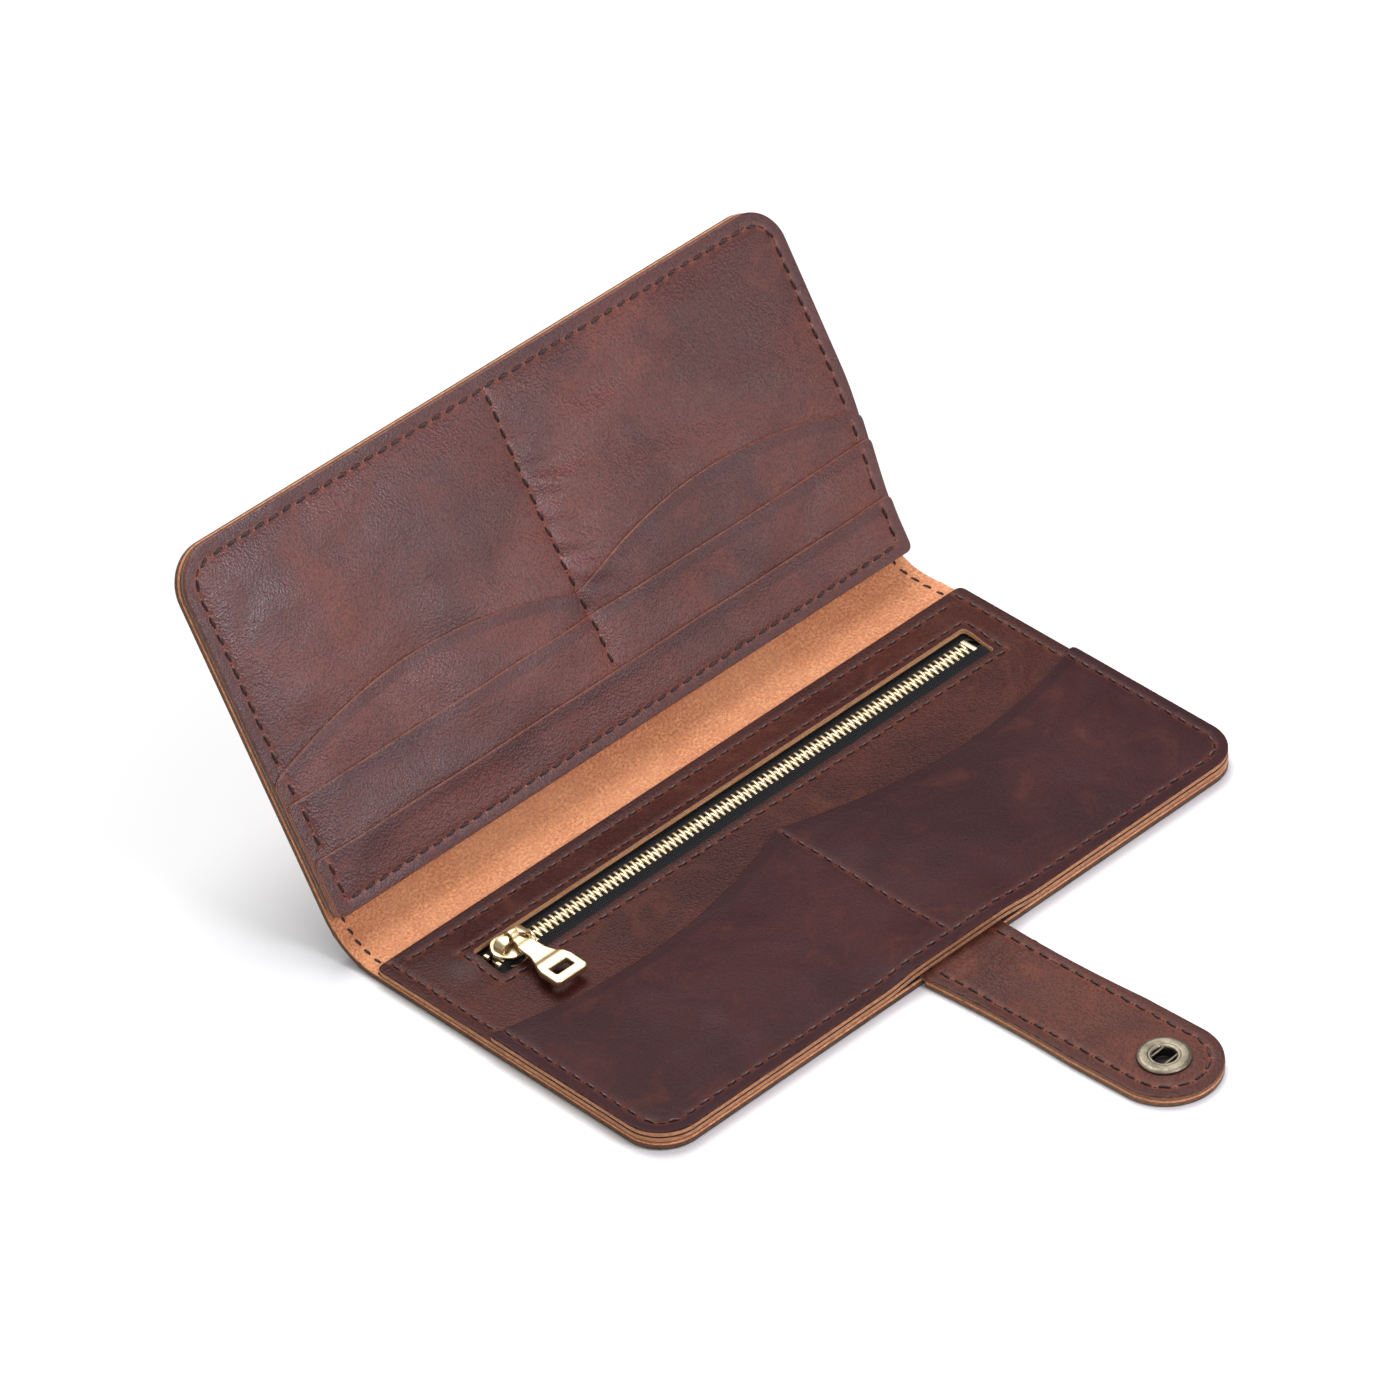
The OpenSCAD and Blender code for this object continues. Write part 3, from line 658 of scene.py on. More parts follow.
def lathe(name, profile, centre, ways, mats, sides=64):
    """A turned piece. profile is (radius, height) points of a closed section."""
    x, y, z = (np.array(w, float) for w in ways)
    turn = np.linspace(0, 2 * math.pi, sides, endpoint=False)
    profile = np.array(profile, float)
    n = len(profile)
    vertices = []
    for a in turn:
        out = x * math.cos(a) + y * math.sin(a)
        vertices += [np.array(centre) + out * p[0] + z * p[1] for p in profile]
    vertices = np.array(vertices)
    faces = []
    for i in range(sides):
        a, b = i * n, (i + 1) % sides * n
        for j in range(n):
            k = (j + 1) % n
            faces.append((a + j, b + j, b + k, a + k))
    flat = np.c_[np.tile(profile, (sides, 1)), np.repeat(turn, n)] * MM
    return make(name, vertices, faces, [0] * len(faces), mats, {"flat": flat})


def bevelled(points, r, steps=3):
    """A closed section whose corners are rounded by r."""
    points = np.array(points, float)
    made = []
    for p, a, b in zip(points, np.roll(points, 1, 0), np.roll(points, -1, 0)):
        to_a, to_b = (a - p) / np.linalg.norm(a - p), (b - p) / np.linalg.norm(b - p)
        reach = min(r, 0.45 * np.linalg.norm(a - p), 0.45 * np.linalg.norm(b - p))
        for t in np.linspace(0, 1, steps + 1):
            made.append(
                (1 - t) ** 2 * (p + to_a * reach) + 2 * t * (1 - t) * p + t * t * (p + to_b * reach)
            )
    return np.array(made)


def stamp(name, vertices, faces, moves, mats, paint=None):
    """One small solid copied by each move, a function from its vertices to the world."""
    placed = [move(vertices) for move in moves]
    n = len(vertices)
    all_faces = [tuple(i + k * n for i in f) for k in range(len(placed)) for f in faces]
    painted = {
        key: np.tile(v, (len(placed),) + (1,) * (v.ndim - 1)) for key, v in (paint or {}).items()
    }
    if "shade" in painted:
        painted["shade"] = np.repeat(np.random.default_rng(5).uniform(0, 1, len(placed)), n)
    return make(name, np.vstack(placed), all_faces, [0] * len(all_faces), mats, painted)


def tube_faces(rows, around, base=0):
    """Faces of a tube whose rings have the same number of points, with both ends closed."""
    faces = []
    for i in range(rows - 1):
        a, b = base + i * around, base + (i + 1) * around
        for j in range(around):
            k = (j + 1) % around
            faces.append((a + j, b + j, b + k, a + k))
    faces.append(tuple(range(base, base + around)))
    last = base + (rows - 1) * around
    faces.append(tuple(reversed(range(last, last + around))))
    return faces


def stitch_solid():
    """One stitch: two twisted plies that rise from a hole, lie over the leather and sink again."""
    along, around = 15, 12
    rows, at = [], []
    for i in range(along):
        t = -1 + 2 * i / (along - 1)
        x = t * (stitch_l / 2 + 0.12)
        z = 0.32 * (1 - abs(t) ** 3.2) - 0.42 * abs(t) ** 6
        size = 0.30 * (1 - 0.4 * abs(t) ** 4)
        for j in range(around):
            a = 2 * math.pi * j / around
            ply = 1 + 0.13 * math.cos(2 * a - t * 5.5)
            rows.append((x, size * ply * math.cos(a), z + 0.78 * size * ply * math.sin(a)))
            at.append((t, a))
    return np.array(rows), tube_faces(along, around), np.array(at)


def sew(name, stitches, height, place, down=False, slant=0.11, shrink=1.0, seed=3, mat=None):
    """Stitches laid on a surface whose height is a function of the pattern."""
    solid, faces, at = stitch_solid()
    draw = np.random.default_rng(seed)
    moves = []
    for u, d, heading in stitches:
        turn = heading + slant + draw.normal(0, 0.03)
        long = shrink * (1 + draw.normal(0, 0.03))
        side, base = draw.normal(0, 0.05), draw.normal(0, 0.02)

        def move(points, u=u, d=d, turn=turn, long=long, side=side, base=base):
            x, y, z = points[:, 0] * long, points[:, 1] + side, points[:, 2] + base
            us = u + x * math.cos(turn) - y * math.sin(turn)
            ds = d + x * math.sin(turn) + y * math.cos(turn)
            ground = height(us, ds)
            return place(us, ds, ground - z if down else ground + z)

        moves.append(move)
    paint = {"flat": np.c_[at, at[:, 0]] * MM, "shade": at[:, 0]}
    return stamp(name, solid, faces, moves, [mat or thread], paint)


# ---------------------------------------------------------------- materials


class Shader:
    """A material whose nodes are added in short lines."""

    def __init__(self, name):
        self.material = bpy.data.materials.new(name)
        self.material.use_nodes = True
        self.tree = self.material.node_tree
        self.surface = self.tree.nodes["Principled BSDF"]

    def node(self, kind, inputs=None, **settings):
        made = self.tree.nodes.new("ShaderNode" + kind)
        for key, value in settings.items():
            setattr(made, key, value)
        for key, value in (inputs or {}).items():
            self.feed(made.inputs[key], value)
        return made

    def feed(self, socket, value):
        if isinstance(value, bpy.types.NodeSocket):
            self.tree.links.new(value, socket)
        else:
            socket.default_value = value

    def finish(self, **inputs):
        for key, value in inputs.items():
            self.feed(self.surface.inputs[key.replace("_", " ")], value)
        return self.material

    def attribute(self, name, vector=False):
        found = self.node("Attribute", attribute_name=name)
        return found.outputs["Vector" if vector else "Fac"]

    def noise(self, at, scale, detail=3.0, rough=0.5, distort=0.0):
        inputs = {"Vector": at, "Scale": scale, "Detail": detail, "Roughness": rough}
        return self.node("TexNoise", {**inputs, "Distortion": distort}).outputs["Fac"]

    def cells(self, at, scale, smooth=0.6):
        return self.node(
            "TexVoronoi", {"Vector": at, "Scale": scale, "Smoothness": smooth}, feature="SMOOTH_F1"
        ).outputs["Distance"]

    def math(self, kind, a, b=0.0, c=0.0):
        made = self.node("Math", operation=kind)
        for socket, value in zip(made.inputs, (a, b, c)):
            self.feed(socket, value)
        return made.outputs[0]

    def spread(self, value, low, high, to_low=0.0, to_high=1.0):
        return self.node(
            "MapRange",
            {"Value": value, "From Min": low, "From Max": high, "To Min": to_low, "To Max": to_high},
            interpolation_type="SMOOTHSTEP",
        ).outputs[0]

    def mix(self, share, a, b, kind="MIX"):
        made = self.node("Mix", data_type="RGBA", blend_type=kind)
        for name, value in (("Factor_Float", share), ("A_Color", a), ("B_Color", b)):
            socket = next(s for s in made.inputs if s.identifier == name)
            if not isinstance(value, (bpy.types.NodeSocket, float, int)):
                value = (*value, 1.0)
            self.feed(socket, value)
        return next(s for s in made.outputs if s.identifier == "Result_Color")

    def bump(self, height, strength, distance, normal=None):
        inputs = {"Height": height, "Strength": strength, "Distance": distance}
        if normal is not None:
            inputs["Normal"] = normal
        return self.node("Bump", inputs).outputs["Normal"]

    def stretched(self, at, scale):
        return self.node("Mapping", {"Vector": at, "Scale": scale}).outputs[0]


def leather_material(name, dark, mid, warm, warm_share=0.5, rough=0.4, mottle=1.0, pebble=1.0,
                     gloss=0.3):
    """Waxed pull-up leather: mottled, darker outside the seams, with a fine grain."""
    s = Shader(name)
    at = s.attribute("flat", True)
    broad = s.noise(at, 24.0, 4.0, 0.55, 0.8)
    patch = s.noise(at, 58.0, 5.0, 0.62, 1.2)
    fleck = s.noise(at, 420.0, 4.0, 0.6)
    dust = s.noise(at, 2400.0, 2.0, 0.5)
    jitter = s.node("TexNoise", {"Vector": at, "Scale": 420.0}).outputs["Color"]
    grain = s.cells(s.mix(0.0007, at, jitter, "ADD"), 1700.0)
    colour = s.mix(s.spread(broad, 0.5 - 0.14 * mottle, 0.5 + 0.12 * mottle), dark, mid)
    colour = s.mix(s.math("MULTIPLY", s.spread(patch, 0.5, 0.74), warm_share), colour, warm)
    colour = s.mix(s.spread(fleck, 0.3, 0.75, 0.0, 0.3 * mottle), colour, dark)
    colour = s.mix(s.spread(dust, 0.35, 0.7, 0.0, 0.25 * pebble), colour, warm)
    darkest = tuple(0.4 * x for x in dark)
    colour = s.mix(s.spread(grain, 0.35, 0.75, 0.0, 0.42 * pebble), colour, darkest)
    rim = s.math("MULTIPLY", s.spread(s.attribute("rim"), 3.7, 2.7), 0.5)
    colour = s.mix(rim, colour, (0.8 * dark[0], 0.82 * dark[1], 0.95 * dark[2]))
    wear = s.spread(s.attribute("rim"), 0.5, 0.05, 0.0, 0.55)
    colour = s.mix(s.math("MULTIPLY", wear, s.spread(fleck, 0.35, 0.6)), colour, warm)
    beside_seam = s.spread(s.attribute("seam"), 1.6, 0.5)
    burnish = s.math("MULTIPLY", beside_seam, s.spread(fleck, 0.35, 0.6, 0.1, 0.4))
    colour = s.mix(burnish, colour, warm)
    halo = s.spread(s.attribute("hole"), 0.9, 0.35, 0.0, 0.45)
    colour = s.mix(halo, colour, tuple(1.3 * x for x in warm))
    # painted shade: the stitch holes are painted nearly black, as the shade inside each hole
    hole = s.spread(s.attribute("hole"), 0.4, 0.15, 0.0, 0.9)
    colour = s.mix(hole, colour, (0.014, 0.006, 0.005))
    pore = s.noise(at, 1500.0, 3.0, 0.65)
    crease = s.math("ABSOLUTE", s.math("SUBTRACT", s.noise(at, 95.0, 3.0, 0.55, 1.6), 0.5))
    crease = s.spread(crease, 0.0, 0.04)
    normal = s.bump(crease, 0.05, 0.0003)
    normal = s.bump(grain, 0.5 * pebble, 0.0002, normal)
    normal = s.bump(pore, 0.4 * pebble, 0.00015, normal)
    shine = s.spread(patch, 0.3, 0.75, rough - 0.08, rough + 0.14)
    shine = s.math("ADD", shine, s.math("MULTIPLY", s.spread(dust, 0.3, 0.7), 0.05))
    s.surface.inputs["Specular IOR Level"].default_value = gloss
    return s.finish(Base_Color=colour, Roughness=shine, Normal=normal)


def suede_material():
    s = Shader("suede_inside")
    at = s.attribute("flat", True)
    nap = s.noise(at, 1300.0, 4.0, 0.75)
    cloud = s.noise(at, 210.0, 5.0, 0.65, 0.4)
    broad = s.noise(at, 30.0, 3.0)
    colour = s.mix(s.spread(nap, 0.34, 0.66), (0.38, 0.128, 0.052), (0.78, 0.350, 0.165))
    colour = s.mix(s.spread(cloud, 0.38, 0.66, 0.0, 0.5), colour, (0.47, 0.165, 0.070))
    colour = s.mix(s.spread(broad, 0.4, 0.65, 0.0, 0.25), colour, (0.72, 0.350, 0.175))
    normal = s.bump(nap, 0.8, 0.00025)
    normal = s.bump(cloud, 0.3, 0.0005, normal)
    s.surface.inputs["Sheen Weight"].default_value = 0.35
    s.surface.inputs["Sheen Roughness"].default_value = 0.5
    s.surface.inputs["Specular IOR Level"].default_value = 0.2
    return s.finish(Base_Color=colour, Roughness=s.spread(nap, 0.3, 0.7, 0.86, 0.97), Normal=normal)


def edge_material(name, pale, deep):
    """A cut edge: fibres along the cut, with painted shade that darkens it towards its top and bottom
    borders, where the layers meet.
    """
    s = Shader(name)
    at = s.attribute("flat", True)
    fibre = s.noise(s.stretched(at, (1.0, 1.0, 5.0)), 700.0, 4.0, 0.65)
    tuft = s.noise(at, 1900.0, 3.0, 0.6)
    stain = s.noise(at, 70.0, 4.0, 0.6)
    colour = s.mix(s.spread(fibre, 0.32, 0.66), deep, pale)
    colour = s.mix(s.spread(stain, 0.48, 0.72, 0.0, 0.55), colour, tuple(0.55 * x for x in deep))
    colour = s.mix(s.spread(tuft, 0.35, 0.7, 0.0, 0.3), colour, deep)
    # painted shade: darker towards the edge's top and bottom borders, as shade in the gaps between layers
    across = s.math("ABSOLUTE", s.math("SUBTRACT", s.attribute("across"), 0.5))
    colour = s.mix(s.spread(across, 0.3, 0.5, 0.0, 0.6), colour, tuple(0.35 * x for x in deep))
    normal = s.bump(fibre, 0.6, 0.00025)
    normal = s.bump(tuft, 0.4, 0.00012, normal)
    return s.finish(Base_Color=colour, Roughness=s.spread(tuft, 0.3, 0.7, 0.7, 0.9), Normal=normal)


def tape_material(name="zip_tape_weave"):
    """Black woven tape: slanted ribs with a fine cross thread."""
    s = Shader(name)
    at = s.attribute("flat", True)
    parts = s.node("SeparateXYZ", {"Vector": at}).outputs
    slant = s.math("ADD", parts[0], s.math("MULTIPLY", s.math("ABSOLUTE", parts[1]), 0.6))
    rib = s.math("SINE", s.math("MULTIPLY", slant, 2 * math.pi / 0.00055))
    cross = s.math("SINE", s.math("MULTIPLY", parts[1], 2 * math.pi / 0.0004))
    weave = s.math("MULTIPLY", s.spread(rib, -0.9, 0.9), s.spread(cross, -1.0, 0.6, 0.45, 1.0))
    fuzz = s.noise(at, 2800.0, 3.0, 0.6)
    colour = s.mix(weave, (0.002, 0.002, 0.0025), (0.014, 0.015, 0.018))
    colour = s.mix(s.spread(fuzz, 0.5, 0.8, 0.0, 0.3), colour, (0.035, 0.035, 0.038))
    normal = s.bump(weave, 1.0, 0.00025)
    normal = s.bump(fuzz, 0.3, 0.00006, normal)
    s.surface.inputs["Sheen Weight"].default_value = 0.03
    s.surface.inputs["Specular IOR Level"].default_value = 0.25
    return s.finish(Base_Color=colour, Roughness=s.spread(fuzz, 0.3, 0.7, 0.65, 0.85), Normal=normal)


def metal_material(name, bright, deep, rough, scuff, patina=0.0):
    s = Shader(name)
    at = s.node("TexCoord").outputs["Object"]
    cloud = s.noise(at, 260.0, 4.0, 0.6)
    brush = s.noise(s.stretched(at, (1.0, 4.0, 1.0)), 1500.0, 3.0, 0.55)
    pit = s.noise(at, 3200.0, 2.0, 0.5)
    colour = s.mix(s.spread(cloud, 0.35, 0.7), bright, deep)
    colour = s.mix(s.spread(pit, 0.5, 0.75, 0.0, patina), colour, tuple(0.25 * x for x in deep))
    brushed = s.spread(brush, 0.3, 0.7, rough, rough + scuff)
    shine = s.math("ADD", brushed, s.spread(cloud, 0.4, 0.7, 0.0, 0.06))
    normal = s.bump(brush, 0.03, 0.00003)
    normal = s.bump(pit, 0.02 + 0.3 * patina, 0.00003, normal)
    return s.finish(Base_Color=colour, Roughness=shine, Metallic=1.0, Normal=normal)


def thread_material(name, deep, pale, shine):
    s = Shader(name)
    at = s.attribute("flat", True)
    parts = s.node("SeparateXYZ", {"Vector": s.stretched(at, (1000.0, 1000.0, 1000.0))}).outputs
    twist = s.math(
        "SINE", s.math("ADD", s.math("MULTIPLY", parts[1], 2.0), s.math("MULTIPLY", parts[0], -5.5))
    )
    fibre = s.noise(s.node("TexCoord").outputs["Object"], 5200.0, 3.0, 0.6)
    colour = s.mix(s.spread(twist, -0.6, 0.9), deep, pale)
    colour = s.mix(s.spread(s.attribute("shade"), 0.0, 1.0, 0.0, 0.4), colour, deep)
    colour = s.mix(s.spread(fibre, 0.45, 0.75, 0.0, 0.5), colour, shine)
    normal = s.bump(fibre, 0.35, 0.00008)
    s.surface.inputs["Sheen Weight"].default_value = 0.05
    s.surface.inputs["Specular IOR Level"].default_value = 0.3
    return s.finish(Base_Color=colour, Roughness=s.spread(fibre, 0.3, 0.7, 0.45, 0.65), Normal=normal)


# dark, mid and warm tones, then the settings that differ
leather_in = leather_material(
    "leather_upper_inside", (0.068, 0.0165, 0.0160), (0.140, 0.035, 0.028), (0.22, 0.064, 0.040),
    0.5, 0.35, gloss=0.46,
)
leather_low = leather_material(
    "leather_lower_inside", (0.028, 0.0085, 0.010), (0.044, 0.0125, 0.0135),
    (0.105, 0.034, 0.025), 0.45, 0.42, 0.8, 0.45, gloss=0.07,
)
leather_zip = leather_material(
    "leather_zip_panel", (0.032, 0.0080, 0.0072), (0.060, 0.0145, 0.011), (0.120, 0.036, 0.022),
    0.6, 0.36, 1.0, 0.8, gloss=0.09,
)
leather_tab = leather_material(
    "leather_tab", (0.050, 0.0140, 0.0110), (0.086, 0.0245, 0.0175), (0.165, 0.052, 0.030),
    0.6, 0.42, gloss=0.13,
)
leather_out = leather_material(
    "leather_outside", (0.055, 0.016, 0.014), (0.100, 0.029, 0.023), (0.18, 0.056, 0.034),
    0.5, 0.40,
)
suede = suede_material()
edge = edge_material("cut_edge", (0.54, 0.260, 0.115), (0.26, 0.108, 0.045))
# painted light: a paler copy of the cut edge for the zip window's walls, which lie in shade
window_wall_painted_light = edge_material("cut_window_wall_painted_light", (0.74, 0.40, 0.19), (0.50, 0.22, 0.09))
edge_thin = edge_material("cut_edge_thin", (0.34, 0.130, 0.054), (0.16, 0.055, 0.025))
# painted shade: a darker copy of the cut edge, for the cover's and the upper flap's edges
edge_worn = edge_material("cut_edge_worn", (0.155, 0.074, 0.034), (0.052, 0.022, 0.010))
edge_tab = edge_material("cut_edge_tab", (0.22, 0.110, 0.050), (0.10, 0.044, 0.021))
tape_cloth = tape_material()
lining_cloth = tape_material("lining_weave")
brass = metal_material("pale_brass", (0.68, 0.545, 0.345), (0.58, 0.455, 0.275), 0.30, 0.08)
tooth_brass = metal_material("tooth_brass", (0.72, 0.585, 0.375), (0.56, 0.440, 0.265), 0.34, 0.1)
bronze = metal_material("antique_bronze", (0.25, 0.215, 0.16), (0.135, 0.115, 0.085), 0.36, 0.16, 0.5)
# the same waxed thread in two tones: this darker one is painted shade, for the upper flap's stitches that
# lie in their grooves, and the other stitches use it too
thread = thread_material(
    "waxed_thread", (0.009, 0.004, 0.004), (0.050, 0.023, 0.021), (0.10, 0.054, 0.050)
)
# painted sheen: a paler copy of the thread for the lower flap's stitches
thread_painted_sheen = thread_material(
    "waxed_thread_painted_sheen", (0.020, 0.009, 0.008), (0.105, 0.050, 0.043), (0.17, 0.095, 0.085)
)
leather_skins = [leather_in, edge_worn, suede]
thin_skins = [leather_in, edge_thin, suede]
lower_skins = [leather_low, edge, suede]
zip_skins = [leather_zip, edge, suede, window_wall_painted_light]

# ---------------------------------------------------------------- how the leather lies


def upper_fall(u, d):
    """How the upper flap's panels swell between their seams."""
    border = np.minimum(half_l - np.abs(u), np.minimum(upper_depth - d, d + 1.5)) - seam_inset
    swell = 1 - np.exp(-np.maximum(border, 0) / 9)
    middle = 1 - np.exp(-np.abs(u) / 7) * ease(10, 20, d)
    soft = ease(0, 16, border)
    pucker = np.exp(-((np.abs(u) - 5) / 6) ** 2) * ease(22, 34, d) * ease(80, 60, d)
    return (
        1.25 * swell * middle * ease(-1.5, 16, d)
        + 0.42 * soft * ripple(u, d, 34, 11)
        + 0.16 * soft * ripple(u, d * 1.6, 13, 12)
        + 0.20 * pucker * np.sin(2 * math.pi * (d + 0.35 * u) / 7.5) * np.where(u > 0, 1, 0.4)
    )


def upper_under(u, d):
    return np.maximum(upper_fall(u, d), 0)


def lower_fall(u, d):
    """How the lower flap's panels lie: raised along the zip window and over the tab's tongue."""
    border = np.minimum(half_l - np.abs(u), lower_depth - d) - seam_inset
    soft = ease(0, 14, border)
    beside_u = np.maximum(np.abs(u - window_mid[0]) - (window_high[0] - window_low[0]) / 2, 0)
    beside_d = np.maximum(np.abs(d - window_mid[1]) - (window_high[1] - window_low[1]) / 2, 0)
    beside = np.hypot(beside_u, beside_d)
    spine_side = ease(window_mid[1] + 3, window_mid[1] - 3, d)
    lip = (0.15 + 0.95 * spine_side) * np.exp(-((beside / 5.5) ** 2)) * ease(1.5, 8, d)
    tongue = 0.95 * ease(25, 12.5, np.abs(u)) * ease(76, 90, d)
    swell = (
        0.5 * (1 - np.exp(-np.maximum(border, 0) / 8)) * (1 - np.exp(-np.abs(u) / 7))
        * ease(40, 60, d)
    )
    wrinkle = (
        0.3 * ease(60, 78, u) * ease(92, 84, u) * np.sin((d * 0.9 + u * 0.5) * 0.55)
        * ease(24, 34, d) * ease(70, 52, d)
    )
    return np.maximum(
        lip + tongue + swell + 0.16 * soft * ripple(u, d, 34, 21) * ease(26, 40, d)
        + 0.03 * soft * ripple(u, d, 9, 22) + wrinkle,
        0,
    )


# ---------------------------------------------------------------- leather pieces

rim_upper_out = np.vstack([side_run(1, upper_depth - corner_r), outer_run(upper_depth)])


def in_cover(stitches):
    """The upper flap's stitches in the cover's own pattern."""
    return stitches + (0, spine_l, 0)


split = [spine_l / 4, 3 * spine_l / 4]  # where the cover is cut, along the spine


def world(place, *at):
    """One point in metres, from a place function and its three coordinates."""
    return tuple(place(*(np.array([value]) for value in at))[0] * MM)


def bend(piece, bodies, start, end, nodes=()):
    """Bakes a piece's placement into its mesh and hides the CAD nodes it replaces; the bodies and the two
    points are not used.
    """
    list(bodies)
    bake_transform(piece)
    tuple(start)
    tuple(end)
    for node in nodes:
        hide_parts(node)


def bend_cover(piece, bodies, zone, nodes=()):
    """A piece on the cover, whose zone is given along the cover at the hinges' height."""
    start, end = (world(cover, 0, at, hinge_h) for at in zone)
    bend(piece, bodies, start, end, nodes)


def bend_tab(piece, bodies, zone, nodes=()):
    """A piece on the tab, whose zone is given along the tab at its top."""
    start, end = (world(tab, 0, at, tab_t) for at in zone)
    bend(piece, bodies, start, end, nodes)


def ride(piece, body, node=None):
    """Declares a piece that moves with one body."""
    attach(piece, body)
    if node:
        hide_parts(node)


def cover_outline(kind):
    if kind == "lower":
        shape = flap_outline(lower_depth, -split[0])
        return (shape * (1, -1))[::-1]
    if kind == "upper":
        return flap_outline(upper_depth, split[1] - spine_l) + (0, spine_l)
    low, high = split
    return np.array([(-half_l, low), (half_l, low), (half_l, high), (-half_l, high)])


def square_ends(*ends):
    return lambda loop: np.any([np.abs(loop[:, 1] - e) < 1e-6 for e in ends], axis=0)


def turned_cover(u, q, h):
    """The cover is built face down, so that its grain side is the top of the plate."""
    return cover_skin(u, q, cover_t - h)


# kind: grid, bodies, bending zone, CAD nodes
cover_pieces = {
    "lower": (1.8, ("lower_flap", "spine_lower"), (-2.0, split[0]), ["cover_lower"]),
    "spine": (
        1.1, ("spine_lower", "spine_upper"), split, ["cover_spine_lower", "cover_spine_upper"]
    ),
    "upper": (1.3, ("spine_upper", "upper_flap"), (split[1], spine_l + 2.0), ["cover_upper"]),
}
stud_hole = arc((stud_u, stud_d + spine_l), 1.7, 360, 0, 0.5)[:-1]
for kind, (grid, bodies, zone, nodes) in cover_pieces.items():
    piece = plate(
        f"cover_leather_{kind}", cover_outline(kind), 0, cover_t, turned_cover,
        [leather_out, edge_worn, suede], [stud_hole] if kind == "upper" else (), r=0.3, grid=grid,
        seams=in_cover(rim_upper_out) if kind == "upper" else None,
        square_at=square_ends(*split), seed=41, detail_below=True, dip=0.15,
    )
    bend_cover(piece, bodies, zone, nodes)


def leather(node, body, outline, low, high, place, mats, **more):
    """A leather piece between the CAD node's own heights."""
    piece = plate(f"{node}_leather", outline, low[2], high[2], place, mats, soft_corners=True, **more)
    ride(piece, body, node)


# lower flap
zip_edge_d = panel_low[1]
window_outline = rounded_rectangle(window_low[:2], window_high[:2], 0.9)[::-1]
window_inset = 2.2
box_low, box_high = window_low[:2] - window_inset, window_high[:2] + window_inset
window_seam = np.vstack([
    run(box_low, (box_high[0], box_low[1])),
    run((box_low[0], box_high[1]), box_high),
    run((box_low[0], box_low[1] + 0.8), (box_low[0], box_high[1] - 0.8)),
    run((box_high[0], box_low[1] + 0.8), (box_high[0], box_high[1] - 0.8)),
])
zip_seam_u, zip_seam_d = half_l - seam_inset - 4, zip_edge_d + seam_inset
zip_edge_seam = run((-zip_seam_u, zip_seam_d), (zip_seam_u, zip_seam_d))
pocket_side = scoop_mouth(half_l)
pocket_peak = scoop_mouth(0)
panel_side_seam = side_run(zip_edge_d + 1, pocket_side - 1)
pocket_rim_seam = np.vstack([
    side_run(pocket_side + 1, lower_depth - corner_r), outer_run(lower_depth)
])
pocket_mid_seam = run((0, pocket_peak + 1.5), (0, lower_depth - seam_inset - 1))

leather(
    "zip_panel", "lower_flap", flap_outline(lower_depth, zip_edge_d), panel_low, panel_high,
    lower, zip_skins, holes=[window_outline], lift=lower_fall, under=lower_fall,
    seed=51, r=0.3, grid=1.1,
    seams=np.vstack([window_seam, zip_edge_seam, panel_side_seam]),
)
leather(
    "front_pocket", "lower_flap", flap_outline(lower_depth, 0, mouth=scoop_mouth),
    pocket_low, pocket_high, lower, lower_skins,
    lift=lower_fall, under=lower_fall, seed=52, r=0.32, grid=1.1,
    seams=np.vstack([pocket_rim_seam, pocket_mid_seam]),
)

# upper flap
panel_end = card_low[1]
front_mouth, middle_mouth = front_high[1], middle_high[1]
dome_side, dome_mid = float(dome_mouth(half_l)), float(dome_mouth(0))
card_rim_seam = np.vstack([side_run(dome_side + 3, upper_depth - corner_r), outer_run(upper_depth)])
card_mid_seam = run((0, dome_mid + 1), (0, upper_depth - seam_inset - 1))
dome_seam = np.vstack([
    side_run(middle_mouth + 0.4, dome_side - 0.4), run((0, middle_mouth + 0.5), (0, dome_mid - 0.5))
])
middle_seam = np.vstack([
    side_run(front_mouth + 1, middle_mouth - 1), run((0, front_mouth + 1), (0, middle_mouth - 0.5))
])
base_seam = run((seam_inset + 1 - half_l, card_base_seam), (half_l - seam_inset - 1, card_base_seam))
front_seam = np.vstack([side_run(card_base_seam + 1, front_mouth - 1), base_seam])

leather(
    "bill_divider", "upper_flap", flap_outline(upper_depth - 0.15, divider_low[1], half_l - 0.15),
    divider_low, divider_high, upper_skin, leather_skins, seed=61, grid=6.0,
)
leather(
    "card_panel", "upper_flap", flap_outline(upper_depth, panel_end), card_low, card_high,
    upper_skin, leather_skins, lift=upper_fall, under=upper_under, seed=62, r=0.32, grid=1.1,
    seams=np.vstack([card_rim_seam, card_mid_seam]),
)
dome_across = np.linspace(half_l, -half_l, 161)
for seed, part, low, high, mouth, seams in (
    (63, "domed", dome_low, dome_high, np.c_[dome_across, dome_mouth(dome_across)], dome_seam),
    (64, "middle", middle_low, middle_high,
     [(half_l, middle_mouth), (-half_l, middle_mouth)], middle_seam),
    (65, "front", front_low, front_high, [(half_l, front_mouth), (-half_l, front_mouth)], front_seam),
):
    outline = np.vstack([[(-half_l, panel_end), (half_l, panel_end)], mouth])
    leather(
        f"card_pocket_{part}", "upper_flap", outline, low, high, upper_skin, thin_skins,
        lift=upper_fall, under=upper_fall, seed=seed, r=0.2, seams=seams, grid=1.1,
    )

# ---------------------------------------------------------------- cloth

lining = plate(
    "zip_pocket_lining_cloth", flap_outline(lower_depth - 0.4, zip_edge_d + 0.2, half_l - 0.4),
    lining_z0, lining_z1, lower, [lining_cloth] * 3, r=0.1, grid=4.0, seed=71, rim=(0.5,),
)
ride(lining, "lower_flap", "zip_pocket_lining")

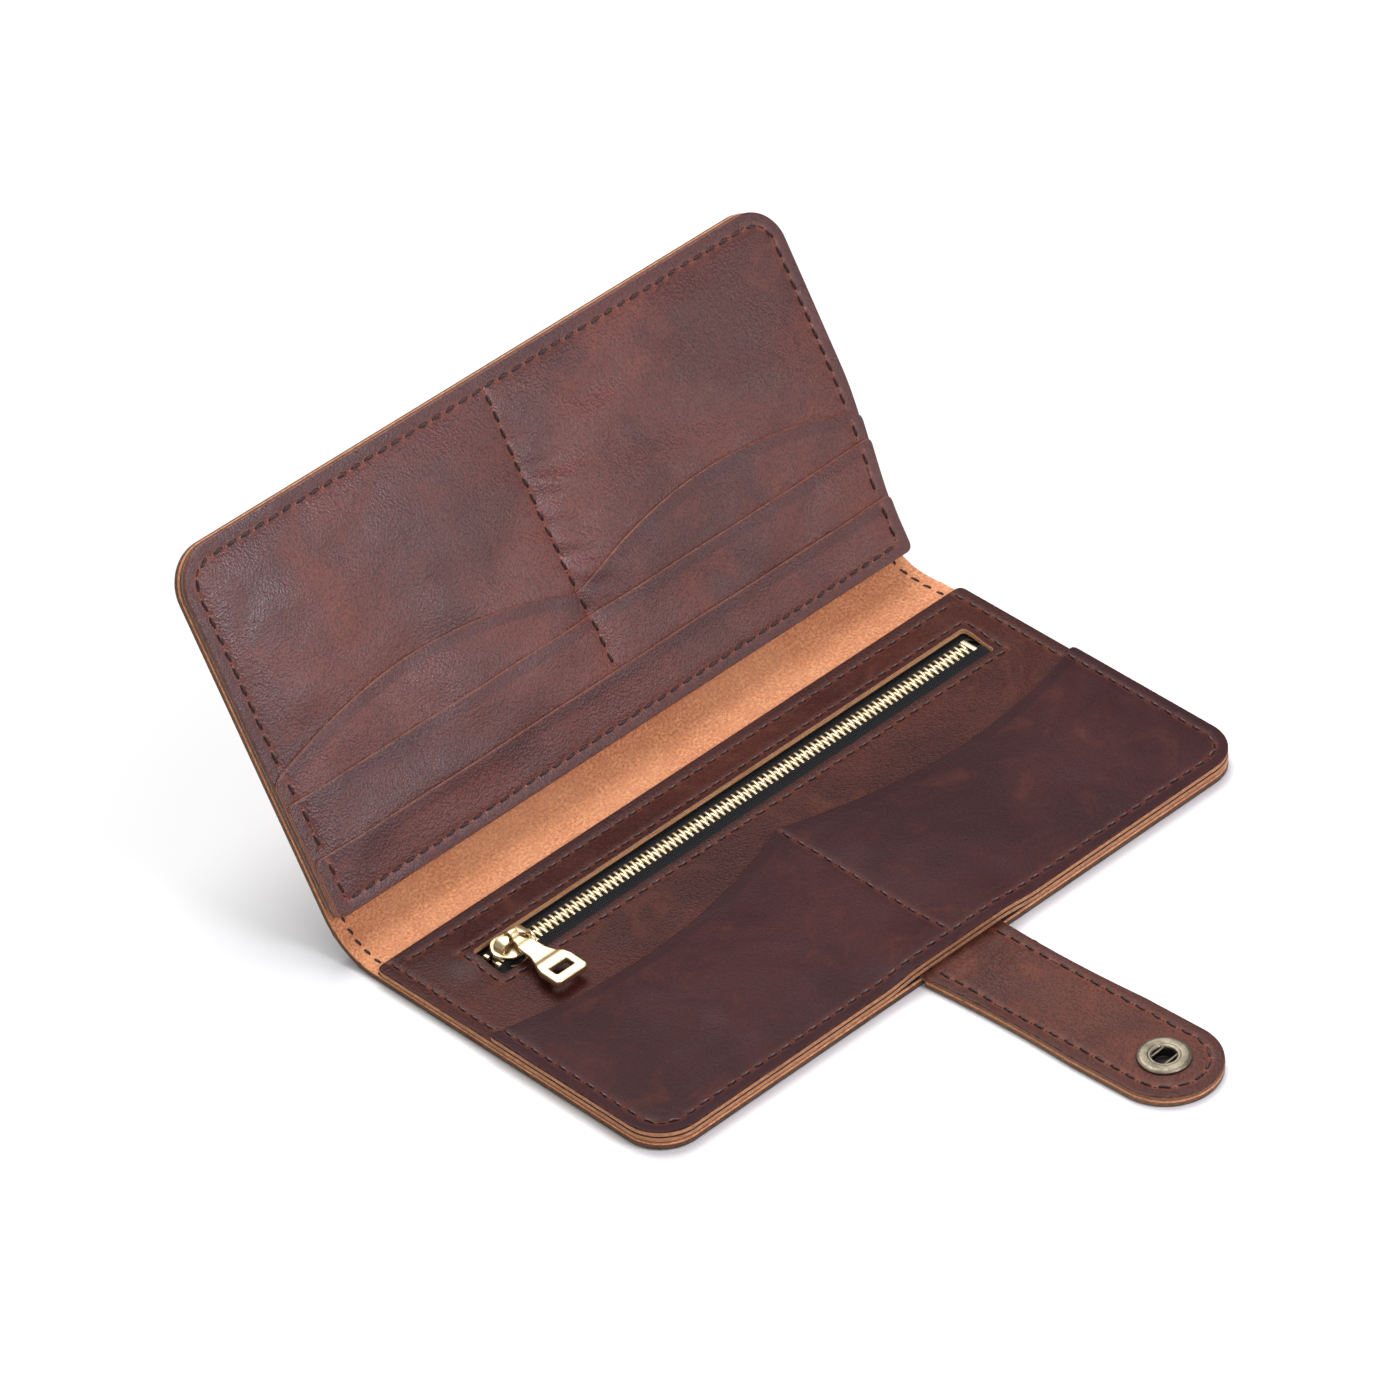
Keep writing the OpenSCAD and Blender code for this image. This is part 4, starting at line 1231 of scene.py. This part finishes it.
teeth_low, teeth_high = span("zip_teeth_front", in_lower)
tooth_mid_h = (teeth_low[2] + teeth_high[2]) / 2
for name, side in (("zip_tape_front", 1), ("zip_tape_spine", -1)):
    low, high = span(name, in_lower)
    inner = 1.5
    outer = high[1] - low[1] + min(abs(low[1] - window_mid[1]), abs(high[1] - window_mid[1]))
    near, far = (inner, outer) if side > 0 else (-outer, -inner)
    tape_step = 3.6

    def tape_fall(u, w):
        """The tape rises from under the panel to the teeth inside the window."""
        from_middle = np.abs(u - window_mid[0]) + window_mid[0]
        inside_window = ease(window_high[0] + 0.5, window_high[0] - 1.5, from_middle)
        rise = ease(tape_step, tape_step - 1.3, np.abs(w)) * (tooth_mid_h - low[2] - 0.25)
        cord_edge = 0.22 * np.exp(-(((np.abs(w) - 2.3) / 0.3) ** 2))
        return (rise + cord_edge) * inside_window

    def tape_place(u, w, h):
        return lower(u, window_mid[1] + w, h)

    cloth = plate(
        name + "_cloth", [(low[0], near), (high[0], near), (high[0], far), (low[0], far)],
        low[2] + 0.02, low[2] + 0.45, tape_place, [tape_cloth] * 3, r=0.1, grid=0.8,
        lift=tape_fall, under=tape_fall, seed=72, rim=(0.3,), detail_below=True,
    )
    ride(cloth, "lower_flap", name)

# ---------------------------------------------------------------- zip metal


def solid_of(outline, z0, z1, r):
    """A small solid with rounded edges: vertices, faces."""
    n, rings = len(outline), []
    for level, way, angles in ((z1, -1, (90, 45, 0)), (z0, 1, (0, 45, 90))):
        for a in np.radians(angles):
            ring = shifted(outline, np.full(n, r * (1 - math.cos(a))))
            rings.append(np.c_[ring, np.full(n, level + way * r * (1 - math.sin(a)))])
    return np.vstack(rings), tube_faces(len(rings), n)


tooth_pitch = 1.72
tooth_reach = 3.25
tooth_side = bevelled(
    [(0, 0.35), (0.5, 0.72), (1.2, 0.80), (tooth_reach - 1.2, 0.78), (tooth_reach - 0.3, 0.60),
     (tooth_reach, 0.25), (tooth_reach, -0.55), (tooth_reach - 0.3, -0.8), (1.1, -0.6), (0, -0.5)][::-1],
    0.2, 2,
)
tooth_vertices, tooth_faces = solid_of(tooth_side, -0.40, 0.40, 0.2)
for name, side in (("zip_teeth_front", 1), ("zip_teeth_spine", -1)):
    low, high = span(name, in_lower)
    start_u = low[0] + 0.39
    count = int(round((high[0] - low[0] - 0.78) / tooth_pitch)) + 1
    moves = []
    for i in range(count):

        def move(points, at=start_u + i * tooth_pitch, side=side):
            w = window_mid[1] + side * (points[:, 0] - 1.0)
            lean = 0.12 * (points[:, 0] - 1.0)
            return lower(at + points[:, 2] + lean, w, tooth_mid_h + points[:, 1])

        moves.append(move)
    teeth = stamp(name + "_metal", tooth_vertices, tooth_faces, moves, [tooth_brass])
    ride(teeth, "lower_flap", name)

for node in ("zip_top_stops", "zip_bottom_stop"):
    low, high = span(node, in_lower)
    points = in_lower(vertices_of(node))
    halves = [points[points[:, 1] > window_mid[1]], points[points[:, 1] <= window_mid[1]]]
    if node == "zip_bottom_stop":
        halves = [points]
    moves = []
    block = None
    for part in halves:
        a, b = part.min(0), part.max(0)
        half_size = (b - a) / 2 * (1, 0.8, 0.7)
        if block is None:
            section = rounded_rectangle(-half_size[:2], half_size[:2], 0.25, 0.12)
            block = solid_of(section, -half_size[2], half_size[2], 0.2)

        def move(points, middle=(a + b) / 2):
            placed = points + middle
            return lower(placed[:, 0], placed[:, 1], placed[:, 2])

        moves.append(move)
    stop = stamp(node + "_metal", block[0], block[1], moves, [brass])
    ride(stop, "lower_flap", node)

slider_low, slider_high = span("zip_slider", in_lower)
slider_u = (slider_low[0] + slider_high[0]) / 2
half_slider, half_width = (slider_high[0] - slider_low[0]) / 2, (slider_high[1] - slider_low[1]) / 2
plate_t = 0.6
swing = folds["pull_swing"]
plate_top = teeth_high[2] + 0.15 + plate_t
slider_outline = softened(
    np.array([
        (-half_slider - 0.5, -0.9), (-half_slider * 0.72, -half_width * 0.9),
        (-half_slider * 0.3, -half_width - 0.3),
        (half_slider * 0.15, -half_width * 0.92), (half_slider, -half_width * 0.82),
        (half_slider, half_width * 0.82), (half_slider * 0.15, half_width * 0.92),
        (-half_slider * 0.3, half_width + 0.3), (-half_slider * 0.72, half_width * 0.9),
        (-half_slider - 0.5, 0.9),
    ]),
    3,
)


def at_slider(u, w, h):
    return lower(slider_u + u, window_mid[1] + w, h)


def slider_crown(u, w):
    return 0.28 * (1 - np.clip(np.hypot(u / half_slider, w / half_width), 0, 1) ** 2)


slider_parts = [
    plate("zip_slider_top", slider_outline, plate_top - plate_t, plate_top, at_slider, [brass] * 3,
          r=0.27, grid=0.5, lift=slider_crown, rim=(0.3,), ragged=0, seed=81),
    plate("zip_slider_bottom", slider_outline, slider_low[2], slider_low[2] + plate_t, at_slider,
          [brass] * 3, r=0.2, grid=30, rim=(0.2,), ragged=0, seed=82),
]
flange_outline = rounded_rectangle((-half_slider * 0.2, -0.22), (half_slider - 0.1, 0.22), 0.15, 0.15)
for side in (-1, 1):
    def at_flange(u, w, h, side=side):
        return at_slider(u, w + side * (half_width * 0.8 - 0.25), h)

    slider_parts.append(plate(
        f"zip_slider_flange_{'front' if side > 0 else 'spine'}", flange_outline,
        plate_top - plate_t - 0.45, plate_top - 0.1, at_flange, [brass] * 3, r=0.12, grid=30,
        rim=(0.05,), ragged=0, seed=83,
    ))

# the bridge is an arched strap along the zip, narrower where the pull's eye hangs
bridge_top = slider_high[2]
bridge_bar = 1.2
strap = []
for t in np.linspace(-1, 1, 41):
    angle = math.pi / 2 * t
    x = 4.1 * math.copysign(abs(math.sin(angle)) ** 0.8, t)
    z = plate_top - 0.3 + (bridge_top - bridge_bar / 2 - plate_top + 0.3) * abs(math.cos(angle)) ** 0.42
    strap.append((x, z))
strap = np.array(strap)
ways = np.gradient(strap, axis=0)
ways /= np.linalg.norm(ways, axis=1)[:, None]
vertices = []
for t, p, way in zip(np.abs(np.linspace(-1, 1, 41)), strap, ways):
    wide = 0.62 + 1.0 * ease(0.14, 0.34, t)
    section = bevelled([(-wide, -0.5), (wide, -0.5), (wide, 0.55), (-wide, 0.55)], 0.3, 3)
    for w, rise in section:
        along = slider_u + p[0] - way[1] * rise
        vertices.append((along, fold_y - window_mid[1] - w, p[1] + way[0] * rise))
faces = tube_faces(len(strap), len(section))
slider_parts.append(make("zip_slider_bridge", vertices, faces, [0] * len(faces), [brass]))
for part in slider_parts:
    ride(part, "slider")
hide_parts("zip_slider")

# the pull
pull_points = vertices_of("zip_pull")
pull_far = pull_points[:, 1].min()
tip = pull_points[pull_points[:, 1] < pull_far + 0.6]
droop = math.atan2(swing.z - (tip[:, 2].min() + tip[:, 2].max()) / 2, swing.y - pull_far)
pull_l = (swing.y - pull_far) / math.cos(droop) - 0.05
pull_t = 1.8
end_w = (pull_points[:, 0].max() - pull_points[:, 0].min()) / 2


def at_pull(u, w, h):
    """w runs from the bridge to the pull's end."""
    return np.c_[
        swing.x + u,
        swing.y - w * math.cos(droop),
        swing.z - w * math.sin(droop) + h,
    ]


neck = 2.5
pull_outline = fine(np.vstack([
    [(-1.15, 1.2), (1.15, 1.2), (1.35, 2.6), (neck - 0.2, 4.2), (neck, 8.4), (neck + 0.8, 10.6),
     (end_w - 0.5, 12.6), (end_w, 14.2)],
    arc((end_w - 1.1, pull_l - 1.1), 1.1, 0, 90, 0.3),
    arc((1.1 - end_w, pull_l - 1.1), 1.1, 90, 180, 0.3),
    [(-end_w, 14.2), (0.5 - end_w, 12.6), (-neck - 0.8, 10.6), (-neck, 8.4), (0.2 - neck, 4.2),
     (-1.35, 2.6)],
]), 0.35)
pull_hole = rounded_rectangle(
    (-end_w + 2.1, pull_l - 5.2), (end_w - 2.1, pull_l - 2.5), 0.35, 0.2
)[::-1]


def pull_thick(u, w):
    """Thin at the neck, with a bevel up to the thick end."""
    return -0.4 * ease(12.4, 10.8, w) - 0.2 * ease(4.4, 3.0, w)


pull = plate(
    "zip_pull_plate", pull_outline, -pull_t / 2, pull_t / 2, at_pull, [brass] * 3, holes=[pull_hole],
    r=0.32, grid=0.5, lift=pull_thick, under=lambda u, w: -pull_thick(u, w), rim=(0.2,), ragged=0,
    seed=84, detail_below=True,
)
eye_section = bevelled([(0.98, -1.15), (1.55, -1.15), (1.55, 1.15), (0.98, 1.15)], 0.25, 3)
eye = lathe(
    "zip_pull_eye", eye_section, tuple(swing), ((0, 1, 0), (0, 0, 1), (1, 0, 0)), [brass], 48
)
for part in (pull, eye):
    ride(part, "pull")
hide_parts("zip_pull")

# ---------------------------------------------------------------- tab

tab_end_s = tab_l - tab_w / 2
waist_s = tab_end_s / 2.8
waist_x, waist_y, waist_r = through(
    (tab_w / 2, 0), (tab_w / 2 - tab_waist, waist_s), (tab_w / 2, 2 * waist_s)
)


def tab_half(s):
    """Half the tab's width."""
    curve = waist_x - np.sqrt(np.maximum(waist_r**2 - (s - waist_y) ** 2, 0))
    curve = np.where((s > 0) & (s < 2 * waist_s), curve, tab_w / 2)
    return np.minimum(curve, tab_w / 2)


def tab_outline(start, end):
    """The tab between two distances from the flap; past tab_end_s it is rounded."""
    if end > tab_end_s:
        sides = np.linspace(start, tab_end_s, 60)
        return np.vstack([
            np.c_[tab_half(sides), sides][:-1],
            arc((0, tab_end_s), tab_w / 2, 0, 180),
            np.c_[-tab_half(sides), sides][::-1][1:],
        ])
    sides = np.linspace(start, end, 24)
    return np.vstack([np.c_[tab_half(sides), sides], np.c_[-tab_half(sides), sides][::-1]])


tab_split = sum(tab_fold) / 2
tab_seam_u = tab_w / 2 - seam_inset
tab_seam_near = np.vstack([
    run((side * tab_seam_u, 1.2), (side * tab_seam_u, tab_fold[1] - 0.9)) for side in (-1, 1)
])
tab_seam_far = np.vstack([
    *(run((side * tab_seam_u, tab_fold[1] + 0.9), (side * tab_seam_u, tab_end_s)) for side in (-1, 1)),
    bend_run((0, tab_end_s), tab_w / 2 - seam_inset, 0, 180),
])
tab_seam = np.vstack([tab_seam_near, tab_seam_far])


def tab_fall(u, s):
    """Creases across the root, and a slight wave along the tab."""
    crease = ease(-2, 4, s) * ease(17, 8, s) * ease(12.5, 9, np.abs(u))
    return (
        0.10 * ripple(u, s, 16, 91) * ease(13, 9, np.abs(u))
        + 0.14 * crease * np.sin(1.5 * s + 0.25 * np.abs(u) + 0.6 * ripple(u, s, 9, 92))
    )


def tab_inside(u, s):
    """Inside the flap the facing is thinner and lies on the cover."""
    return (cover_t - tab_t / 2) * ease(0.6, -0.8, s)


tab_zones = (
    ("root", ("lower_flap", "tab_bend"), (tab_fold[0] - 3.1, tab_fold[0] + 3.4), -9.0, tab_split),
    ("end", ("tab_bend", "tab_end"), (tab_fold[1] - 4.0, tab_fold[1] + 4.5), tab_split, tab_l),
)
ring_r = (ring_high[0] - ring_low[0]) / 2
for part, bodies, zone, s0, s1 in tab_zones:
    for layer in ("facing", "backing"):
        start = s0 if layer == "facing" or part == "end" else 0.35
        z0 = tab_t / 2 if layer == "facing" else 0.0
        hole = [arc((0, snap_s), 3.4, 360, 0, 0.6)[:-1]] if part == "end" else ()
        top_of_backing = layer == "backing"
        skins = [leather_tab, edge_tab, suede]
        if layer == "backing":
            skins.reverse()
        piece = plate(
            f"tab_{layer}_{part}_leather", tab_outline(start, s1), z0, z0 + tab_t / 2, tab, skins,
            holes=hole, r=0.3, grid=0.9, lift=None if top_of_backing else
            (lambda u, s: tab_fall(u, s) + 0.07 * ease(0.6, -0.8, s)),
            under=None if top_of_backing else tab_inside,
            seams=None if top_of_backing else tab_seam, square_at=square_ends(tab_split),
            seed=95 if layer == "facing" else 96, detail_below=True, ragged=0.05,
        )
        nodes = [f"tab_{part}_{layer}"] + ([f"tab_bend_{layer}"] if part == "end" else [])
        bend_tab(piece, bodies, zone, nodes)

for part, bodies, zone, _, _ in tab_zones:
    beyond = tab_seam[:, 1] >= tab_split
    keep = tab_seam[beyond if part == "end" else ~beyond]
    sewn = sew(f"tab_stitches_{part}", keep, lambda u, s: tab_t + tab_fall(u, s) - 0.2, tab, seed=97)
    node = "thread_tab_bend" if part == "root" else "thread_tab_end"
    bend_tab(sewn, bodies, zone, [node])
    below = sew(
        f"tab_stitches_below_{part}", keep, lambda u, s: 0 * u + below_h, tab, down=True, seed=98
    )
    bend_tab(below, bodies, zone)

# ---------------------------------------------------------------- snap


def at_tab(s, h):
    return tuple(tab(np.zeros(1), np.array([s]), np.array([h]))[0])


tab_ways = ((cos_skew, sin_skew, 0), (-sin_skew, cos_skew, 0), (0, 0, 1))
ring_h = ring_high[2] - ring_low[2]
bore = 2.85
ring_section = bevelled(
    [(bore, -0.6), (ring_r - 0.3, 0.0), (ring_r, 0.15), (ring_r, ring_h * 0.62), (ring_r - 0.8, ring_h),
     (bore + 1.0, ring_h), (bore + 0.75, ring_h * 0.8), (bore + 0.35, ring_h * 0.85), (bore, ring_h * 0.6)],
    0.22, 3,
)
ring = lathe("snap_socket_ring", ring_section, at_tab(snap_s, tab_t), tab_ways, [bronze], 96)
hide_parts("snap_socket")
# painted shade: the cup that closes the socket's bore is nearly black metal, as the shade inside the hole
dark_metal = metal_material("dark_metal", (0.035, 0.032, 0.03), (0.018, 0.017, 0.016), 0.45, 0.2, 0.4)
well = lathe(
    "snap_socket_well",
    bevelled([(0.02, -2.18), (bore + 0.3, -2.18), (bore + 0.3, 0.05), (bore - 0.05, 0.05),
              (bore - 0.2, -1.9), (bore - 0.4, -2.02), (0.02, -2.02)], 0.05, 2),
    at_tab(snap_s, tab_t), tab_ways, [dark_metal], 64,
)
wire_r = 0.25
wire_low, wire_high = span("snap_spring", in_tab)
wire_offset = (wire_high[1] - wire_low[1]) / 2 - wire_r
circle = arc((0, 0), wire_r, 0, 360, 0.12)[:-1]
wire_h = tab_t + ring_h * 0.45
wire_vertices, wire_faces, base = [], [], 0
for side in (-1, 1):
    steps = 25
    reach = math.sqrt(bore**2 - wire_offset**2) + 0.25
    for i in range(steps):
        t = -1 + 2 * i / (steps - 1)
        bend_in = side * (wire_offset - 0.04 * (1 - t * t)) + snap_s
        u = t * reach
        for a, b in circle:
            at = (np.array([u]), np.array([bend_in + a]), np.array([wire_h + b]))
            wire_vertices.append(tab(*at)[0])
    wire_faces += tube_faces(steps, len(circle), base)
    base += steps * len(circle)
spring = make("snap_spring_wires", wire_vertices, wire_faces, [0] * len(wire_faces), [bronze])
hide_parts("snap_spring")
cap_section = bevelled(
    [(0.02, 0.0), (ring_r - 0.9, 0.0), (ring_r, 0.35), (ring_r - 0.1, 0.75), (0.02, 0.75)], 0.25, 3
)
shell = lathe("snap_cap_shell", cap_section, at_tab(snap_s, 0.0), tab_ways, [bronze], 96)
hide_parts("snap_cap")
for part in (ring, well, spring, shell):
    ride(part, "tab_end")

stud_ways = ((1, 0, 0), (0, -cos_open, -sin_open), (0, sin_open, -cos_open))
stud_at = tuple(upper(np.array([stud_u]), np.array([stud_d]), np.array([0.0]))[0])
head_h = -stud_low[2]
flange_r = (stud_high[0] - stud_low[0]) / 2
stud_section = bevelled(
    [(0.02, -0.4), (1.6, -0.4), (1.6, 0.0), (flange_r, 0.0), (flange_r - 0.1, 0.3), (3.4, 0.6),
     (1.9, 0.68), (1.5, 0.85), (1.5, head_h - 1.5), (2.3, head_h - 1.0), (2.3, head_h - 0.5),
     (1.5, head_h), (0.9, head_h), (0.6, head_h - 0.5), (0.02, head_h - 0.5)],
    0.22, 3,
)
stud = lathe("snap_stud_turned", stud_section, stud_at, stud_ways, [bronze], 72)
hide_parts("snap_stud")
post_section = bevelled([(0.02, -cover_t), (1.6, -cover_t), (1.6, 0.0), (0.02, 0.0)], 0.15, 2)
post = lathe("snap_stud_rivet", post_section, stud_at, stud_ways, [bronze], 40)
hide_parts("snap_stud_post")
for part in (stud, post):
    ride(part, "upper_flap")

# ---------------------------------------------------------------- thread


def on(top, fall, sink=0.2):
    return lambda u, d: top + fall(u, d) - sink


# flap: body, how its panels lie, where they are, thread
sewn_flaps = {
    "lower": ("lower_flap", lower_fall, lower, thread_painted_sheen),
    "upper": ("upper_flap", upper_fall, upper_skin, thread),
}
# name, flap, stitches, the CAD piece's upper corner, the CAD node shown
sewn_runs = (
    ("rim_stitches_zip_panel", "lower", panel_side_seam, panel_high, "thread_lower_rim"),
    ("rim_stitches_front_pocket", "lower", pocket_rim_seam, pocket_high, None),
    ("zip_edge_stitches", "lower", zip_edge_seam, panel_high, "thread_zip_edge"),
    ("zip_window_stitches", "lower", window_seam, panel_high, "thread_zip_window"),
    ("front_pocket_stitches", "lower", pocket_mid_seam, pocket_high, "thread_front_pocket"),
    ("rim_stitches_card_panel", "upper", card_rim_seam, card_high, "thread_upper_rim"),
    ("rim_stitches_domed_pocket", "upper", dome_seam, dome_high, None),
    ("rim_stitches_middle_pocket", "upper", middle_seam, middle_high, None),
    ("base_stitches", "upper", front_seam, front_high, "thread_card_base"),
    ("divider_stitches", "upper", card_mid_seam, card_high, "thread_card_divider"),
)
for i, (name, flap, stitches, top, node) in enumerate(sewn_runs):
    body, fall, place, mat = sewn_flaps[flap]
    sewn = sew(name, stitches, on(top[2], fall), place, seed=200 + i, mat=mat)
    ride(sewn, body, node)

rim_lower_out = np.vstack([side_run(1, lower_depth - corner_r), outer_run(lower_depth)])
for name, body, stitches, h, place, seed in (
    ("rim_stitches_outside", "upper_flap", rim_upper_out, 0.15, upper_skin, 230),
    ("rim_stitches_below", "lower_flap", rim_lower_out, below_h, lower, 231),
):
    sewn = sew(name, stitches, lambda u, d, h=h: 0 * u + h, place, down=True, seed=seed)
    ride(sewn, body)

# stitches over the spine, at both ends, in the three lengths that the cover bends in
for kind, shares, nodes in (
    ("lower", (0.12,), ["thread_spine_lower"]),
    ("spine", (0.32, 0.5, 0.68), []),
    ("upper", (0.88,), ["thread_spine_upper"]),
):
    _, bodies, zone, _ = cover_pieces[kind]
    spots = np.array([
        (side * (half_l - seam_inset), spine_l * share, math.pi / 2)
        for side in (-1, 1) for share in shares
    ])
    sewn = sew(
        f"spine_stitches_{kind}", spots, lambda u, q: 0 * u + cover_t - 0.12, cover_skin,
        seed=240, shrink=0.76,
    )
    bend_cover(sewn, bodies, zone, nodes)

# ---------------------------------------------------------------- studio


def floor():
    s = Shader("studio_floor")
    soft = s.noise(s.node("TexCoord").outputs["Object"], 3.0, 2.0)
    colour = s.mix(s.spread(soft, 0.3, 0.7), (0.73, 0.73, 0.73), (0.75, 0.75, 0.75))
    material = s.finish(Base_Color=colour, Roughness=0.9)
    s.surface.inputs["Specular IOR Level"].default_value = 0.1
    mesh = bpy.data.meshes.new("studio_floor")
    mesh.from_pydata([(-6, -6, 0), (6, -6, 0), (6, 6, 0), (-6, 6, 0)], [], [(0, 1, 2, 3)])
    mesh.materials.append(material)
    made = bpy.data.objects.new("studio_floor", mesh)
    bpy.context.scene.collection.objects.link(made)
    made.location.z = -0.0002
    made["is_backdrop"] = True


def softbox(name, at, aim, size, power, colour=(1, 1, 1)):
    light = bpy.data.lights.new(name, "AREA")
    light.shape, light.size, light.size_y = "RECTANGLE", size[0], size[1]
    light.energy, light.color = power, colour
    made = bpy.data.objects.new(name, light)
    made.location = at
    made.rotation_mode = "QUATERNION"
    made.rotation_quaternion = (Vector(aim) - Vector(at)).to_track_quat("-Z", "Y")
    bpy.context.scene.collection.objects.link(made)


floor()
centre = (0.0, 0.02, 0.03)
softbox("key_above", (0.35, 0.65, 1.5), centre, (1.0, 1.0), 30)
softbox("sheen_front", (0.72, -1.1, 0.38), (0.0, 0.08, 0.05), (0.55, 0.4), 2.4)
softbox("sheen_left", (0.04, -0.31, 0.33), (-0.09, 0.06, 0.05), (0.14, 0.14), 1.0, (0.9, 0.88, 1.0))
softbox("fill_left", (-1.4, -0.4, 0.9), centre, (0.8, 0.8), 5)
world = bpy.data.worlds.new("studio_world")
world.use_nodes = True
world.node_tree.nodes["Background"].inputs["Color"].default_value = (1, 1, 1, 1)
world.node_tree.nodes["Background"].inputs["Strength"].default_value = 0.42
bpy.context.scene.world = world
bpy.context.scene.view_settings.view_transform = "Standard"

lens = bpy.data.cameras.new("camera")
lens.lens, lens.sensor_width, lens.clip_start, lens.clip_end = 233.7, 36.0, 0.1, 20.0
camera = bpy.data.objects.new("camera", lens)
camera.location = (-1.1094, -1.1559, 1.3219)
camera.rotation_mode = "QUATERNION"
camera.rotation_quaternion = Quaternion((0.829066, 0.408818, -0.148723, -0.351282))
bpy.context.scene.collection.objects.link(camera)
bpy.context.scene.camera = camera

low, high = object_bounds()
{"cad": [list(cad_low), list(cad_high)], "visual": [list(low), list(high)]}
